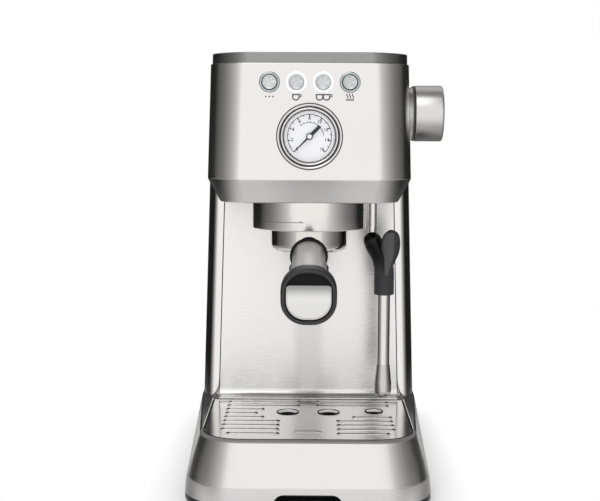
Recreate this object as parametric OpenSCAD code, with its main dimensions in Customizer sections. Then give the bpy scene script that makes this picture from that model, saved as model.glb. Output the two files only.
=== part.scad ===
// Slim espresso machine: a steel column on a wide base, with a head that overhangs the drip tray,
// a bayonet portafilter, a swinging steam wand and a lift-out water tank behind.
// Millimetres. Origin on the counter, under the front face of the column. +Z up, front towards -Y.

/* [Heights] */
// Height of the rubber feet below the chassis
foot_h = 2.5; // [2:0.5:6]
// Height of the black plinth that shows below the steel skirt
plinth_h = 3.5; // [2:0.5:5]
// Height of the fold in the skirt above the counter
crease_z = 18.6; // [14:0.2:26]
// Height of the base rim above the counter
base_top = 51.4; // [46:0.2:60]
// Height of the head, from its lower edge to the top of the steel body
head_h = 101.8; // [96:0.2:110]
// Height of the chamfer along the lower edge of the head
chamfer_h = 17.3; // [10:0.1:22]
// Height of the steel body under the top band
body_top = 325.4; // [310:0.2:345]
// Height of the top band
band_h = 7.7; // [5:0.1:10]

/* [Base] */
// Width of the base at its fold
base_w = 183.8; // [178:0.2:196]
// Reach of the base in front of the column
base_front = 153.1; // [146:0.1:165]
// Reach of the base behind the face of the column
base_back = 149.5; // [144:0.1:160]
// Radius of the front corners of the base
base_corner_r = 42; // [35:1:48]
// Radius of the rear corners of the base
base_rear_r = 14; // [8:1:20]
// Outward lean of the band below the fold
band_lean = 1.2; // [0:0.1:2]
// Inward lean of the skirt at the front, from the fold to the rim
skirt_lean = 8.9; // [6:0.1:12]
// Width of the rim at its front corners
rim_w = 163; // [162:0.5:170]
// Width of the rim beside the column
rim_back_w = 182.4; // [182:0.2:183.4]
// Thickness of the steel sheet
sheet = 1.2; // [0.8:0.1:1.6]
// Distance of the seam between tray front and base from the column face
tray_seam = 108.5; // [100:0.5:114]
// Width of the finger notch in the tray front
notch_w = 51; // [40:1:60]
// Height of the finger notch
notch_h = 8; // [6:0.5:10]

/* [Drip tray] */
// Width of the bay that the tray slides in
bay_w = 158.8; // [150:0.2:160]
// Distance of the front edge of the bay from the column face
bay_front = 139; // [134:0.5:140]
// Radius of the front corners of the drip plate
plate_r = 30; // [24:1:34]
// Distance of the back edge of the bay from the column face
bay_back = 8.3; // [8.3:0.1:12]
// Depth of the water space of the tray
bin_depth = 37; // [28:1:38]
// Thickness of the tray walls
bin_wall = 2.5; // [2:0.1:3.5]
// Width of each slot in the drip plate
slot_w = 3.4; // [2.4:0.1:4.5]
// Distance between the rows of slots
slot_pitch = 12.9; // [11:0.1:13.5]
// Radius of the two spout holes in the drip plate
spout_hole_r = 8; // [5:0.5:9]
// Distance between the two spout holes
spout_pitch = 32.8; // [28:0.2:40]
// Radius of the hole under the wand
wand_hole_r = 6.5; // [4:0.5:8]

/* [Column] */
// Width of the column at the base rim
column_w = 181.8; // [170:0.2:182]
// Width of the column at the top band
column_top_w = 165.6; // [156:0.2:170]
// Depth of the column
column_d = 88; // [84:0.5:94]
// Width of the rounded front corner of the column, seen from the front
corner_w = 15.2; // [9:0.2:17]
// Depth of the rounded front corner of the column
corner_d = 34; // [28:1:40]
// Radius of the cove at the foot of the splash panel
cove_r = 6.5; // [4:0.5:6.5]
// Thickness of the rear cover
cover_t = 3; // [2:0.2:3.4]

/* [Head] */
// Width of the head at its fold
head_w = 151.8; // [148:0.2:156]
// Width of the head under the top band
head_top_w = 146.8; // [142:0.2:152]
// Reach of the head in front of the column
head_reach = 128.4; // [122:0.2:135]
// Radius of the front corners of the head
head_r = 26; // [20:1:28]
// Share by which the front corners of the head are drawn to a straight line
corner_ease = 0.3; // [0:0.05:0.5]
// Backward lean of the front of the head
head_lean = 2; // [0:0.2:4]
// Inward reach of the chamfer
chamfer_w = 9.3; // [6:0.1:12]
// Thickness of the floor of the head
floor_t = 2.5; // [2:0.1:3]
// Inset of the top band from the steel below it
band_inset = 1; // [0.4:0.1:2]
// Width of the ledge that the cup tray lies on
ledge_w = 4; // [3:0.5:6]
// Width of the rim around the cup tray
band_rim = 3.6; // [2.4:0.1:5]

/* [Controls] */
// Distance of the row of buttons below the top of the steel body
button_drop = 13.9; // [12.5:0.1:16]
// Distance between neighbouring buttons
button_pitch = 19.4; // [17:0.2:21]
// Radius of each button cap
button_r = 5.2; // [4:0.1:5.6]
// Outer radius of each button ring
ring_r = 7.6; // [6.6:0.1:8.2]
// Travel of each button
button_travel = 1.5; // [0.8:0.1:2]
// Distance of the centre of the gauge below the top of the steel body
gauge_drop = 52.9; // [50:0.1:56]
// Outer radius of the gauge bezel
gauge_r = 24.2; // [20:0.2:25]
// Depth of the gauge case behind the panel
gauge_d = 22; // [16:1:26]
// Radius of the dial
dial_r = 18.6; // [15:0.2:19]
// Distance of the axis of the steam knob below the top of the steel body
knob_drop = 35.4; // [32:0.1:40]
// Distance of the axis of the steam knob in front of the column
knob_y = 69; // [62:0.5:76]
// Radius of the steam knob
knob_r = 21.3; // [18:0.1:23]
// Length of the steam knob
knob_l = 21.5; // [16:0.5:26]
// Distance of the steam knob from the skin of the head
knob_stand = 3.5; // [3.2:0.1:8]
// Radius of the stem of the steam valve
stem_r = 3; // [2.5:0.1:4]

/* [Group] */
// Distance of the centre of the group in front of the column
group_y = 71; // [68:0.5:76]
// Outer radius of the steel ring round the group
group_r = 44; // [42:0.2:45]
// Distance of the lower edge of that ring below the head
group_drop = 21.6; // [18:0.2:24]
// Radius of the bore that takes the portafilter
group_bore_r = 31; // [30.5:0.1:32]
// Radius of the channel that takes the lugs
channel_r = 36; // [35:0.1:36.5]
// Thickness of the lip that holds the lugs up
lip_t = 3; // [2.4:0.1:4]
// Height of each lug
lug_t = 4; // [3:0.1:5]
// Angle that each lug spans
lug_angle = 40; // [30:1:44]
// Angle from locked to the place where the portafilter drops out
lock_angle = 45; // [45:1:60]
// Thickness of the group gasket
gasket_t = 4; // [3:0.5:5]

/* [Portafilter] */
// Radius of the cup of the portafilter
cup_r = 29.8; // [28:0.1:30]
// Distance of the bottom of the cup below the ring
cup_drop = 18; // [14:0.5:22]
// Radius of the rounded lower edge of the cup
cup_edge_r = 6; // [3:0.5:8]
// Wall of the cup
cup_wall = 2.6; // [2:0.1:3.2]
// Radius of the filter basket
basket_r = 26.4; // [24:0.1:26.6]
// Distance above the bottom of the cup where the axis of the handle meets the axis of the group
handle_lift = 5; // [3:0.5:7]
// Downward tilt of the handle
handle_tilt = 11.4; // [8:0.2:14]
// Distance from the group axis to the root of the neck, along the handle
neck_start = 31; // [30.5:0.5:33]
// Distance from the group axis to the start of the grip, along the handle
grip_start = 100; // [70:1:104]
// Distance from the group axis to the end of the grip, along the handle
grip_end = 126; // [115:1:135]
// Radius of the steel neck
neck_r = 12.4; // [11:0.1:13.5]
// Width of the end of the grip
grip_w = 38.6; // [34:0.2:42]
// Height of the end of the grip
grip_h = 40.6; // [36:0.2:44]
// Radius of the corners of the end of the grip
grip_r = 17; // [12:0.5:17]
// Distance between the two outlets of the spout
outlet_pitch = 22; // [18:1:24]
// Distance of the lower end of the outlets below the cup
outlet_drop = 29; // [22:1:34]

/* [Steam wand] */
// Distance of the wand joint to the right of the centre
wand_x = 49.4; // [49:0.2:52]
// Distance of the wand joint in front of the column
wand_y = 70; // [66:0.5:74]
// Distance of the centre of the wand joint below the head
wand_drop = 32.1; // [30:0.1:35]
// Radius of the ball of the wand joint
ball_r = 7; // [5.5:0.1:7.2]
// Sideways offset from the joint to the wand tube
wand_offset = 9.2; // [7:0.2:12]
// Radius of the black sleeve
sleeve_r = 7.9; // [7:0.1:9]
// Distance of the lower end of the sleeve below the wand joint
sleeve_drop = 42; // [36:0.5:48]
// Radius of the wand tube
tube_r = 4.9; // [4:0.1:5.5]
// Radius of the widest part of the tip
tip_r = 6.7; // [6:0.1:8]
// Height of the upper end of the tip
tip_top = 94.4; // [88:0.2:100]
// Height of the lower end of the tip
tip_low = 68; // [62:0.5:74]
// Radius of the steam pipe above the joint
pipe_r = 3; // [2.4:0.1:3.4]

/* [Water tank] */
// Width of the tank
tank_w = 149; // [140:1:150]
// Distance of the back of the tank from the column face
tank_back = 146; // [143:0.5:148]
// Wall of the tank
tank_wall = 2.2; // [1.8:0.1:3]
// Radius of the rear corners of the tank
tank_r = 16; // [10:1:20]
// Distance of the upper edge of the tank below the top of the steel body
tank_drop = 9.4; // [7.4:0.1:16]
// Wall of the tank lid
lid_t = 2.4; // [2:0.1:3]
// Radius of the hinge pins of the tank lid
hinge_pin_r = 1.6; // [1.2:0.1:2]

/* [Clearances] */
// Gap between pieces that move past each other
gap = 0.3; // [0.2:0.05:0.5]
// Radial clearance of a turning pin
pin_gap = 0.08; // [0.03:0.01:0.1]

/* [Hidden] */
$fn = 64;

film = 0.01;
big = 400;
arc_n = 8;
hull_fn = 32;

skirt_low = foot_h + plinth_h;
chassis_floor = 7.5;
head_low = body_top - head_h;
head_crease = head_low + chamfer_h;
overall_h = body_top + band_h;
button_z = body_top - button_drop;
gauge_z = body_top - gauge_drop;
knob_z = body_top - knob_drop;
tank_top = body_top - tank_drop;
group_low = head_low - group_drop;
cup_low = group_low - cup_drop;
handle_z = cup_low + handle_lift;
outlet_low = cup_low - outlet_drop;
wand_z = head_low - wand_drop;
sleeve_low = wand_z - sleeve_drop;
bay_half = bay_w / 2;
grid_t = 1.2;
rim_flare = 20;
grid_top = base_top - gap;
bin_top = grid_top - grid_t - gap;
cover_y = column_d - cover_t - 0.4;
tank_front = column_d + 0.6;
ring_t = 2.4;
collar_r = group_r - ring_t - film;
group_body_r = 38;
channel_low = group_low + 1 + lip_t;
channel_h = lug_t + 2 * gap;
rim_top = channel_low + channel_h + 1.4;
gasket_low = rim_top + 0.1;
group_top = head_low + floor_t + 19;
wand_tube_x = wand_x + wand_offset;
button_xs = [for (i = [0:3]) (i - 1.5) * button_pitch];

// Half width of the column at a height
function half_w(z) = (column_w + (column_top_w - column_w) * (z - base_top) / (body_top - base_top)) / 2;

// Half width of the front of the head at a height
function head_half(z) =
    (head_w + (head_top_w - head_w) * (z - head_crease) / (body_top - head_crease)) / 2;

// Place of the leaning front panel at a height
function panel_at(z) = head_lean * (z - head_crease) / (body_top - head_crease) - head_reach;

// Points of an arc of an ellipse
function arc(cx, cy, rx, ry, a0, a1, n = arc_n) =
    [for (i = [0:n]) let (a = a0 + (a1 - a0) * i / n) [cx + rx * cos(a), cy + ry * sin(a)]];

// A right half outline and its mirror image, as one closed outline
function both_sides(half) = concat(half, [for (i = [len(half) - 1:-1:0]) [-half[i][0], half[i][1]]]);

// A curve drawn partly towards the straight line between its ends
function eased(points, share) = let (n = len(points) - 1)
    [for (i = [0:n]) points[i] + ((points[n] - points[0]) * i / n + points[0] - points[i]) * share];

// Outline with round front and rear corners; the sides run from w at the front to wb at y = flare
function plan(w, wb, front, flare, back, r, rb, share = 0) = both_sides(concat(
    eased(arc(w - r, r - front, r, r, -90, 0), share),
    [[wb, flare]],
    arc(wb - rb, back - rb, rb, rb, 0, 90)));

// Outline of the column with its elliptic front corners
function column_plan(z, inset) = let (w = half_w(z) - inset) both_sides(concat(
    arc(half_w(z) - corner_w, corner_d, corner_w - inset, corner_d - inset, -90, 0),
    [[w, column_d + 1]]));

// Outlines of the base: 0 at the bottom edge, 1 at the fold, 2 at the rim
function base_plan(level, inset) =
    level == 0 ? plan(base_w / 2 + band_lean - inset, base_w / 2 + band_lean - inset,
            base_front + band_lean - inset, 0, base_back + 0.5 - inset,
            base_corner_r + band_lean - inset, base_rear_r - inset)
    : level == 1 ? plan(base_w / 2 - inset, base_w / 2 - inset, base_front - inset, 0,
            base_back - inset, base_corner_r - inset, base_rear_r - inset)
    : plan(rim_w / 2 - inset, rim_back_w / 2 - inset, base_front - skirt_lean - inset, rim_flare,
            base_back - 2 - inset, base_corner_r - skirt_lean - inset, base_rear_r - inset);

// Outlines of the head: 0 at the lower edge, 1 at the fold, 2 at the top
function head_plan(level, inset) =
    level == 0 ? plan(head_w / 2 - chamfer_w - inset, half_w(head_low) - chamfer_w - inset,
            head_reach - chamfer_w - inset, corner_d, corner_d + 1, head_r - 6, 1, corner_ease)
    : level == 1 ? plan(head_w / 2 - inset, half_w(head_crease) - inset, head_reach - inset,
            corner_d, corner_d + 1, head_r - inset, 1, corner_ease)
    : plan(head_top_w / 2 - inset, half_w(body_top) - inset, head_reach - head_lean - inset,
            corner_d, corner_d + 1, head_r - inset, 1, corner_ease);

// Outline of the top band, inset from the steel below it
function band_plan(inset) = plan(head_top_w / 2 - band_inset - inset,
    half_w(body_top) - band_inset - inset, head_reach - head_lean - band_inset - inset,
    corner_d, column_d - inset, head_r + 2 - inset, 3);

// A thin slice of an outline, for hulls
module slice(z, outline) {
    translate([0, 0, z]) linear_extrude(film) polygon(outline);
}

// A block that keeps everything on one side of a plane
module beyond_y(y) {
    translate([-big / 2, y, -big / 2]) cube([big, big, 2 * big]);
}

module before_y(y) {
    translate([-big / 2, y - big, -big / 2]) cube([big, big, 2 * big]);
}

// A rounded box: an upright extrusion of a rounded rectangle
module rounded_block(size, r) {
    x = size[0] / 2;
    y = size[1] / 2;
    linear_extrude(size[2]) polygon(concat(arc(x - r, r - y, r, r, -90, 0), arc(x - r, y - r, r, r, 0, 90),
        arc(r - x, y - r, r, r, 90, 180), arc(r - x, r - y, r, r, 180, 270)));
}

// A round pipe along a list of points, with ball corners
module pipe(points, r) {
    for (i = [0:len(points) - 2]) {
        d = points[i + 1] - points[i];
        translate(points[i]) rotate([0, acos(d[2] / norm(d)), atan2(d[1], d[0])])
            cylinder(h = norm(d), r = r, $fn = 24);
        if (i > 0) translate(points[i]) sphere(r = r + film, $fn = 24);
    }
}

// Something on the axis of the handle, s away from the axis of the group
module on_handle(s) {
    translate([0, -group_y, handle_z]) rotate([90 + handle_tilt, 0, 0]) translate([0, 0, s]) children();
}

// Something that lies along +Y, from a point on the front panel
module into_panel(x, y, z) {
    translate([x, y, z]) rotate([-90, 0, 0]) children();
}

// Solid form of the base, from its bottom edge to z = top
module base_form(inset, low = skirt_low, top = base_top) {
    hull() {
        slice(low, base_plan(0, inset));
        slice(crease_z, base_plan(1, inset));
        slice(top - film, base_plan(2, inset));
    }
}

// Solid form of the column
module column_form(inset, low = base_top, top = body_top) {
    hull() {
        slice(low, column_plan(low, inset));
        slice(top - film, column_plan(top, inset));
    }
}

// Solid form of the head
module head_form(inset, low = head_low, top = body_top) {
    hull() {
        slice(low, head_plan(0, inset));
        slice(head_crease, head_plan(1, inset));
        slice(top - film, head_plan(2, inset));
    }
}

// Outline of the bay and of the pieces that fill it
module bay_outline(inset) {
    polygon(plan(bay_half - inset, bay_half - inset, bay_front - inset, -bay_back - inset - 2,
        -bay_back - inset, plate_r - inset, 1));
}

// ---------------------------------------------------------------- base

foot_x = base_w / 2 - 22;
foot_front = base_front - 34;
foot_back = base_back - 22;
// Four pads at the corners and one under the middle, at the origin
foot_spots = [[-foot_x, -foot_front], [foot_x, -foot_front], [-foot_x, foot_back], [foot_x, foot_back],
    [0, 0]];
screw_x = bay_half + 4.5;
screw_spots = [for (x = [-screw_x, screw_x], y = [-70, 0, 70]) [x, y]];
screw_r = 1.5;
screw_head_r = 3;
panel_y = base_back - 3;
panel_mid_z = (skirt_low + base_top) / 2;
outlet_y = (tank_front + tank_back) / 2;
switch_x = -46;
gland_x = 46;

module base_chassis() {
    cavity_x = 70;
    color([0.13, 0.13, 0.14]) difference() {
        union() {
            intersection() {
                base_form(sheet + gap, skirt_low, base_top - sheet - film);
                beyond_y(-tray_seam + gap);
                translate([0, 0, -big / 2 + base_top - sheet - film]) cube(big, center = true);
            }
            intersection() {
                base_form(0);
                beyond_y(base_back - 15);
            }
            translate([0, 0, foot_h]) linear_extrude(chassis_floor - foot_h) polygon(base_plan(0, 5));
            translate([-bay_half + 1, -bay_back + gap, chassis_floor])
                cube([bay_w - 2, bay_back + 6, base_top - chassis_floor - film]);
        }
        translate([-bay_half, -big, chassis_floor]) cube([bay_w, big - bay_back, big]);
        translate([-cavity_x, 9, 10]) cube([2 * cavity_x, cover_y - 9, big]);
        translate([-60, panel_y, 13]) cube([120, big, base_top - 21]);
        translate([0, outlet_y, base_top - 24]) cylinder(h = big, r = seal_r + film);
        translate([0, outlet_y, base_top - 30]) cylinder(h = big, r = 5);
        translate([-4, column_d - 6, base_top - 34]) cube([8, outlet_y - column_d + 11, 8]);
        translate([switch_x - 11, panel_y - 14, panel_mid_z - 9]) cube([22, 20, 18]);
        translate([gland_x, panel_y - 20, panel_mid_z]) rotate([-90, 0, 0]) cylinder(h = 30, r = 6);
        for (p = screw_spots) translate([p[0], p[1], 0]) {
            cylinder(h = foot_h + 1.6, r = screw_head_r + 0.4);
            cylinder(h = foot_h + 12, r = screw_r + pin_gap);
        }
    }
}

module feet() {
    color([0.08, 0.08, 0.08]) for (p = foot_spots)
        translate([p[0], p[1], 0]) cylinder(h = foot_h, r1 = 9, r2 = 10.5);
}

module base_screws() {
    color([0.5, 0.5, 0.5]) for (p = screw_spots) translate([p[0], p[1], foot_h + 0.2]) difference() {
        union() {
            cylinder(h = 1.4, r = screw_head_r);
            cylinder(h = 11, r = screw_r);
        }
        for (a = [0, 90]) rotate(a) translate([-2, -0.4, -1]) cube([4, 0.8, 1.7]);
    }
}

module skirt_sheet() {
    difference() {
        base_form(0);
        base_form(sheet, skirt_low - 1, base_top - sheet);
        translate([0, 0, base_top - big / 2]) linear_extrude(big) bay_outline(0);
    }
}

module base_skirt() {
    color([0.75, 0.75, 0.74]) difference() {
        skirt_sheet();
        before_y(-tray_seam + gap / 2);
        beyond_y(base_back - 15 - gap / 2);
        translate([-bay_half, -bay_back - 1, base_top - 3]) cube([bay_w, big, 6]);
    }
}

module tray_front() {
    r = 6;
    color([0.78, 0.78, 0.77]) difference() {
        skirt_sheet();
        beyond_y(-tray_seam - gap / 2);
        translate([0, -bay_front, skirt_low - 2]) rotate([90, 0, 0])
            linear_extrude(30) polygon(concat(
                [[notch_w / 2, 0]], arc(notch_w / 2 - r, notch_h + 2 - r, r, r, 0, 90),
                arc(r - notch_w / 2, notch_h + 2 - r, r, r, 90, 180), [[-notch_w / 2, 0]]));
    }
}

module drip_tray() {
    low = chassis_floor + gap;
    color([0.12, 0.12, 0.13]) difference() {
        intersection() {
            union() {
                intersection() {
                    base_form(sheet + 0.1, skirt_low, base_top - sheet - 0.1);
                    before_y(-tray_seam - gap);
                }
                translate([0, 0, low]) linear_extrude(big) bay_outline(gap);
            }
            translate([-big / 2, -big / 2, low]) cube([big, big, bin_top - low]);
        }
        translate([0, 0, bin_top - bin_depth]) linear_extrude(big) bay_outline(gap + bin_wall);
        translate([-notch_w / 2, -bay_front - 30, 0]) cube([notch_w, 31, skirt_low + notch_h]);
    }
}

// Rows of slots in the drip plate: [row, distance of the inner end from the centre, sides that have it]
slot_outer = bay_half - 13.2;
slot_rows = [[0, 6.5, [-1, 1]], [1, 6.5, [-1, 1]], [2, 35.4, [-1]], [3, 40.4, [-1]], [4, 34.8, [-1, 1]],
    [5, 22, [-1, 1]], [6, 22, [-1, 1]], [7, 22, [-1, 1]], [8, 21.6, [-1, 1]]];
slot_first = bay_back + 8.9;

// A slot with round ends, between the centres of its ends
module slot(x0, x1, y, r = slot_w / 2) {
    polygon(concat(arc(x1, y, r, r, -90, 90, 6), arc(x0, y, r, r, 90, 270, 6)));
}

module drip_grid() {
    lip = 4;
    lip_in = gap * 2 + bin_wall;
    color([0.8, 0.8, 0.79]) {
        translate([0, 0, grid_top - grid_t]) linear_extrude(grid_t) difference() {
            bay_outline(0.5);
            for (row = slot_rows, side = row[2]) {
                outer = slot_outer - (row[0] == 8 ? 5 : 0) - slot_w / 2;
                inner = row[1] + slot_w / 2;
                slot(side < 0 ? -outer : inner, side < 0 ? -inner : outer, -slot_first - row[0] * slot_pitch);
            }
            slot(-8.3, 8.3, -slot_first - 7.5 * slot_pitch);
            for (x = [-spout_pitch / 2, spout_pitch / 2])
                translate([x, -slot_first - 2.7 * slot_pitch]) circle(r = spout_hole_r, $fn = 40);
            translate([wand_x + 3.6, -slot_first - 2.4 * slot_pitch]) circle(r = wand_hole_r, $fn = 40);
        }
        difference() {
            translate([0, 0, grid_top - grid_t - lip]) linear_extrude(lip + film) bay_outline(lip_in);
            translate([0, 0, grid_top - grid_t - lip - 1]) linear_extrude(lip + 2 + film)
                bay_outline(lip_in + grid_t);
        }
    }
}

// ---------------------------------------------------------------- column

module splash_outline(inset, low, high) {
    polygon([for (p = [[-1, low], [1, low], [1, high], [-1, high]])
        [p[0] * (half_w(p[1]) - corner_w - inset), p[1]]]);
}

module body_shell() {
    flange = 7;
    root = 0.26 * corner_w;
    color([0.72, 0.72, 0.72]) union() {
        difference() {
            column_form(0);
            column_form(sheet, base_top - 1, body_top - sheet);
            translate([0, 10, 0]) rotate([90, 0, 0]) linear_extrude(20)
                splash_outline(0, base_top - 1, head_crease + 1);
            before_y_above(corner_d - film, head_crease - film);
            beyond_y(column_d);
            translate([0, 0, body_top - 5]) linear_extrude(10) polygon(band_plan(ledge_w + band_rim));
            translate([-big / 2, column_d - 6, body_top - 5]) cube([big, 10, 10]);
        }
        for (side = [-1, 1]) translate([0, sheet + gap + sheet + 0.2, 0]) rotate([90, 0, 0])
            linear_extrude(sheet) polygon([for (p = [[flange, base_top], [-root, base_top],
                [-root, head_low - 2], [flange, head_low - 2]])
                [side * (half_w(p[1]) - corner_w - p[0]), p[1]]]);
    }
}

// Cuts everything in front of y and above z
module before_y_above(y, z) {
    translate([-big / 2, y - big, z]) cube(big);
}

module splash_panel() {
    w = half_w(base_top + cove_r) - corner_w - gap;
    foot = 1.2;
    low = base_top + sheet + cove_r;
    color([0.8, 0.8, 0.79]) {
        translate([0, sheet + gap, 0]) rotate([90, 0, 0]) linear_extrude(sheet)
            splash_outline(gap, low, head_low - gap);
        translate([-w, 0, 0]) rotate([90, 0, 90]) linear_extrude(2 * w)
            polygon(concat(arc(gap - cove_r, low, cove_r + sheet, cove_r + sheet, 0, -90),
                [[gap - cove_r - foot, low - cove_r - sheet], [gap - cove_r - foot, low - cove_r]],
                arc(gap - cove_r, low, cove_r, cove_r, -90, 0)));
    }
}

module rear_cover() {
    low = base_top;
    high = body_top - sheet - gap;
    color([0.14, 0.14, 0.15]) difference() {
        translate([0, cover_y + cover_t, 0]) rotate([90, 0, 0]) linear_extrude(cover_t)
            polygon([for (p = [[-1, low], [1, low], [1, high], [-1, high]])
                [p[0] * (half_w(p[1]) - sheet - gap), p[1]]]);
        for (i = [0:5]) translate([-30, cover_y - 1, high - 22 - 6 * i]) cube([60, 10, 2.4]);
    }
}

frame_y = 72;
frame_t = 2;

module support_frame() {
    low = 10;
    high = body_top - 8;
    color([0.62, 0.63, 0.65]) union() {
        difference() {
            translate([-62, frame_y, low]) cube([124, frame_t, high - low]);
            translate([-35, frame_y - 1, 130]) cube([70, 4, 50]);
            translate([-6, frame_y - 1, 12]) cube([12, 4, 20]);
        }
        for (x = [-62, 60]) translate([x, frame_y, low])
            cube([2, cover_y - frame_y - film, high - low]);
        // Arms that carry the head
        for (x = [-62, 60]) translate([x, -40, head_low + floor_t]) cube([2, frame_y + 40 + film, 14]);
    }
}

// ---------------------------------------------------------------- head

module head_shell() {
    color([0.78, 0.78, 0.78]) difference() {
        head_form(0);
        head_form(sheet, head_low - film, body_top - sheet);
        translate([0, 0, head_low - 5]) linear_extrude(6) polygon(head_plan(0, sheet));
        beyond_y(corner_d - gap / 2);
        column_form(-gap, base_top, head_crease + gap);
        translate([0, 0, body_top - 5]) linear_extrude(10) polygon(band_plan(ledge_w + band_rim));
        into_panel(0, -head_reach - 5, gauge_z) cylinder(h = 20, r = gauge_r - 1.8);
        for (x = button_xs) into_panel(x, -head_reach - 5, button_z) cylinder(h = 20, r = ring_r - 0.9);
        on_knob(knob_skin - 20) cylinder(h = 60, r = stem_r + 3.7);
    }
}

module head_floor() {
    w = head_w / 2 - chamfer_w - sheet - 0.4;
    color([0.1, 0.1, 0.1]) difference() {
        translate([0, 0, head_low + 0.2]) linear_extrude(floor_t - 0.2) polygon(plan(w, w,
            head_reach - chamfer_w - sheet - 0.4, 0, corner_d - 4, head_r - 6, 4, corner_ease));
        translate([0, -group_y, 0]) cylinder(h = big, r = group_body_r + gap);
        translate([wand_x, -wand_y, 0]) cylinder(h = big, r = pipe_r + gap, $fn = 32);
        for (x = [-30, 30]) translate([x, corner_d - 12, 0]) cylinder(h = big, r = 6);
    }
}

module top_frame() {
    low = body_top;
    color([0.42, 0.42, 0.42]) difference() {
        hull() {
            slice(low, band_plan(0));
            slice(overall_h - 1, band_plan(0.2));
            slice(overall_h - film, band_plan(0.9));
        }
        translate([0, 0, low + band_h - 4]) linear_extrude(10) polygon(band_plan(band_rim));
        translate([0, 0, low - 1]) linear_extrude(20) polygon(band_plan(band_rim + ledge_w));
    }
}

module cup_tray() {
    t = 1.5;
    rows = 10;
    row_pitch = (head_reach + column_d - 50) / (rows - 1);
    color([0.7, 0.7, 0.7]) translate([0, 0, overall_h - 4]) linear_extrude(t) difference() {
        polygon(band_plan(band_rim + gap));
        for (row = [0:rows - 1], side = [-1, 1])
            slot(side * 33 - 20, side * 33 + 20, -head_reach + 26 + row * row_pitch, 2);
    }
}

// ---------------------------------------------------------------- water tank

lid_half = tank_w / 2 + 1.4;
lid_front = column_d + 2;
lid_back = tank_back + 1.5;
hinge_y = lid_front + 6;
hinge_z = overall_h - lid_t - 4.2;
ear_x = tank_w / 2 - 5;
ear_t = 3;
seal_r = 10;
ear_r = 3.4;
ear_h = 8;
corner_r = 5;

module tank_plan(inset) {
    translate([0, (tank_front + tank_back) / 2, 0]) polygon(
        let (x = tank_w / 2 - inset, y = (tank_back - tank_front) / 2 - inset, r = tank_r - inset,
            q = corner_r - inset)
        both_sides(concat(arc(x - q, q - y, q, q, -90, 0), arc(x - r, y - r, r, r, 0, 90))));
}

module water_tank() {
    low = base_top + gap;
    color([0.35, 0.38, 0.4, 0.5]) difference() {
        union() {
            translate([0, 0, low]) linear_extrude(tank_top - low) tank_plan(0);
            for (side = [-1, 1]) translate([side * ear_x - ear_t / 2, 0, 0]) {
                translate([0, hinge_y, hinge_z]) rotate([0, 90, 0])
                    cylinder(h = ear_t, r = ear_r, $fn = 32);
                translate([0, hinge_y - ear_r, tank_top - ear_h])
                    cube([ear_t, 2 * ear_r, hinge_z - tank_top + ear_h]);
                translate([0, tank_front + 1, tank_top - ear_h])
                    cube([ear_t, hinge_y - tank_front, ear_h]);
            }
        }
        difference() {
            translate([0, 0, low + tank_wall]) linear_extrude(big) tank_plan(tank_wall);
            for (side = [-1, 1]) translate([side * ear_x - ear_t / 2, tank_front, tank_top - ear_h])
                cube([ear_t, hinge_y + ear_r - tank_front, big]);
        }
        for (side = [-1, 1]) translate([side * ear_x - ear_t, hinge_y, hinge_z]) rotate([0, 90, 0])
            cylinder(h = 2 * ear_t, r = hinge_pin_r + pin_gap, $fn = 32);
        translate([0, outlet_y, 0]) cylinder(h = low + 10, r = 6);
    }
}

module tank_lid() {
    low = tank_top + gap;
    r_front = 6;
    r_back = 9;
    swing_r = hinge_z - low;
    color([0.12, 0.12, 0.13]) {
        difference() {
            intersection() {
                translate([-lid_half, 0, 0]) rotate([90, 0, 90]) linear_extrude(2 * lid_half)
                    polygon(concat([[lid_back, low]],
                        arc(lid_back - r_back, overall_h - r_back, r_back, r_back, 0, 90),
                        arc(lid_front + r_front, overall_h - r_front, r_front, r_front, 90, 180),
                        arc(hinge_y, hinge_z, swing_r, swing_r,
                            180 + acos((hinge_y - lid_front) / swing_r), 270)));
                translate([0, (lid_front + lid_back) / 2, low])
                    rounded_block([2 * lid_half, lid_back - lid_front + 8, big], corner_r);
                translate([0, lid_back - big / 4, low])
                    rounded_block([2 * lid_half, big / 2, big], tank_r);
            }
            translate([-lid_half + lid_t, 0, 0]) rotate([90, 0, 90]) linear_extrude(2 * (lid_half - lid_t))
                polygon(concat([[lid_back - lid_t, low - 1]],
                    arc(lid_back - r_back, overall_h - r_back, r_back - lid_t, r_back - lid_t, 0, 90),
                    arc(lid_front + r_front, overall_h - r_front, r_front - lid_t, r_front - lid_t, 90, 180),
                    [[lid_front + lid_t, low - 1]]));
            translate([-16, lid_back - 6, low - 1]) cube([32, 10, 4]);
            for (side = [-1, 1]) translate([side * ear_x - ear_t / 2 - gap, lid_front - 1, low - 1])
                cube([ear_t + 2 * gap, hinge_y - lid_front + 1, overall_h - lid_t - low + 1]);
        }
        for (side = [-1, 1]) translate([side > 0 ? ear_x - ear_t / 2 : -lid_half + 1, hinge_y, hinge_z])
            rotate([0, 90, 0]) cylinder(h = lid_half - ear_x + ear_t / 2 - 1, r = hinge_pin_r, $fn = 32);
    }
}

module tank_valve() {
    low = base_top + gap;
    color([0.85, 0.85, 0.82]) translate([0, outlet_y, 0]) difference() {
        union() {
            translate([0, 0, low - 12]) cylinder(h = 24, r = 5.6);
            translate([0, 0, low + tank_wall + 0.05]) cylinder(h = 3, r = 9);
        }
        translate([0, 0, low - 13]) cylinder(h = 21, r = 3);
    }
}

module tank_seal() {
    color([0.1, 0.1, 0.1]) translate([0, outlet_y, base_top - 14]) difference() {
        cylinder(h = 13, r = seal_r);
        translate([0, 0, -1]) cylinder(h = 20, r = 5.6 + gap);
    }
}

// ---------------------------------------------------------------- group

module on_group(z) {
    translate([0, -group_y, z]) children();
}

module group_ring() {
    color([0.8, 0.8, 0.78]) on_group(group_low) difference() {
        cylinder(h = head_low - group_low + 0.19, r = group_r, $fn = 96);
        translate([0, 0, -1]) cylinder(h = big, r = group_r - ring_t, $fn = 96);
    }
}

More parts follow.
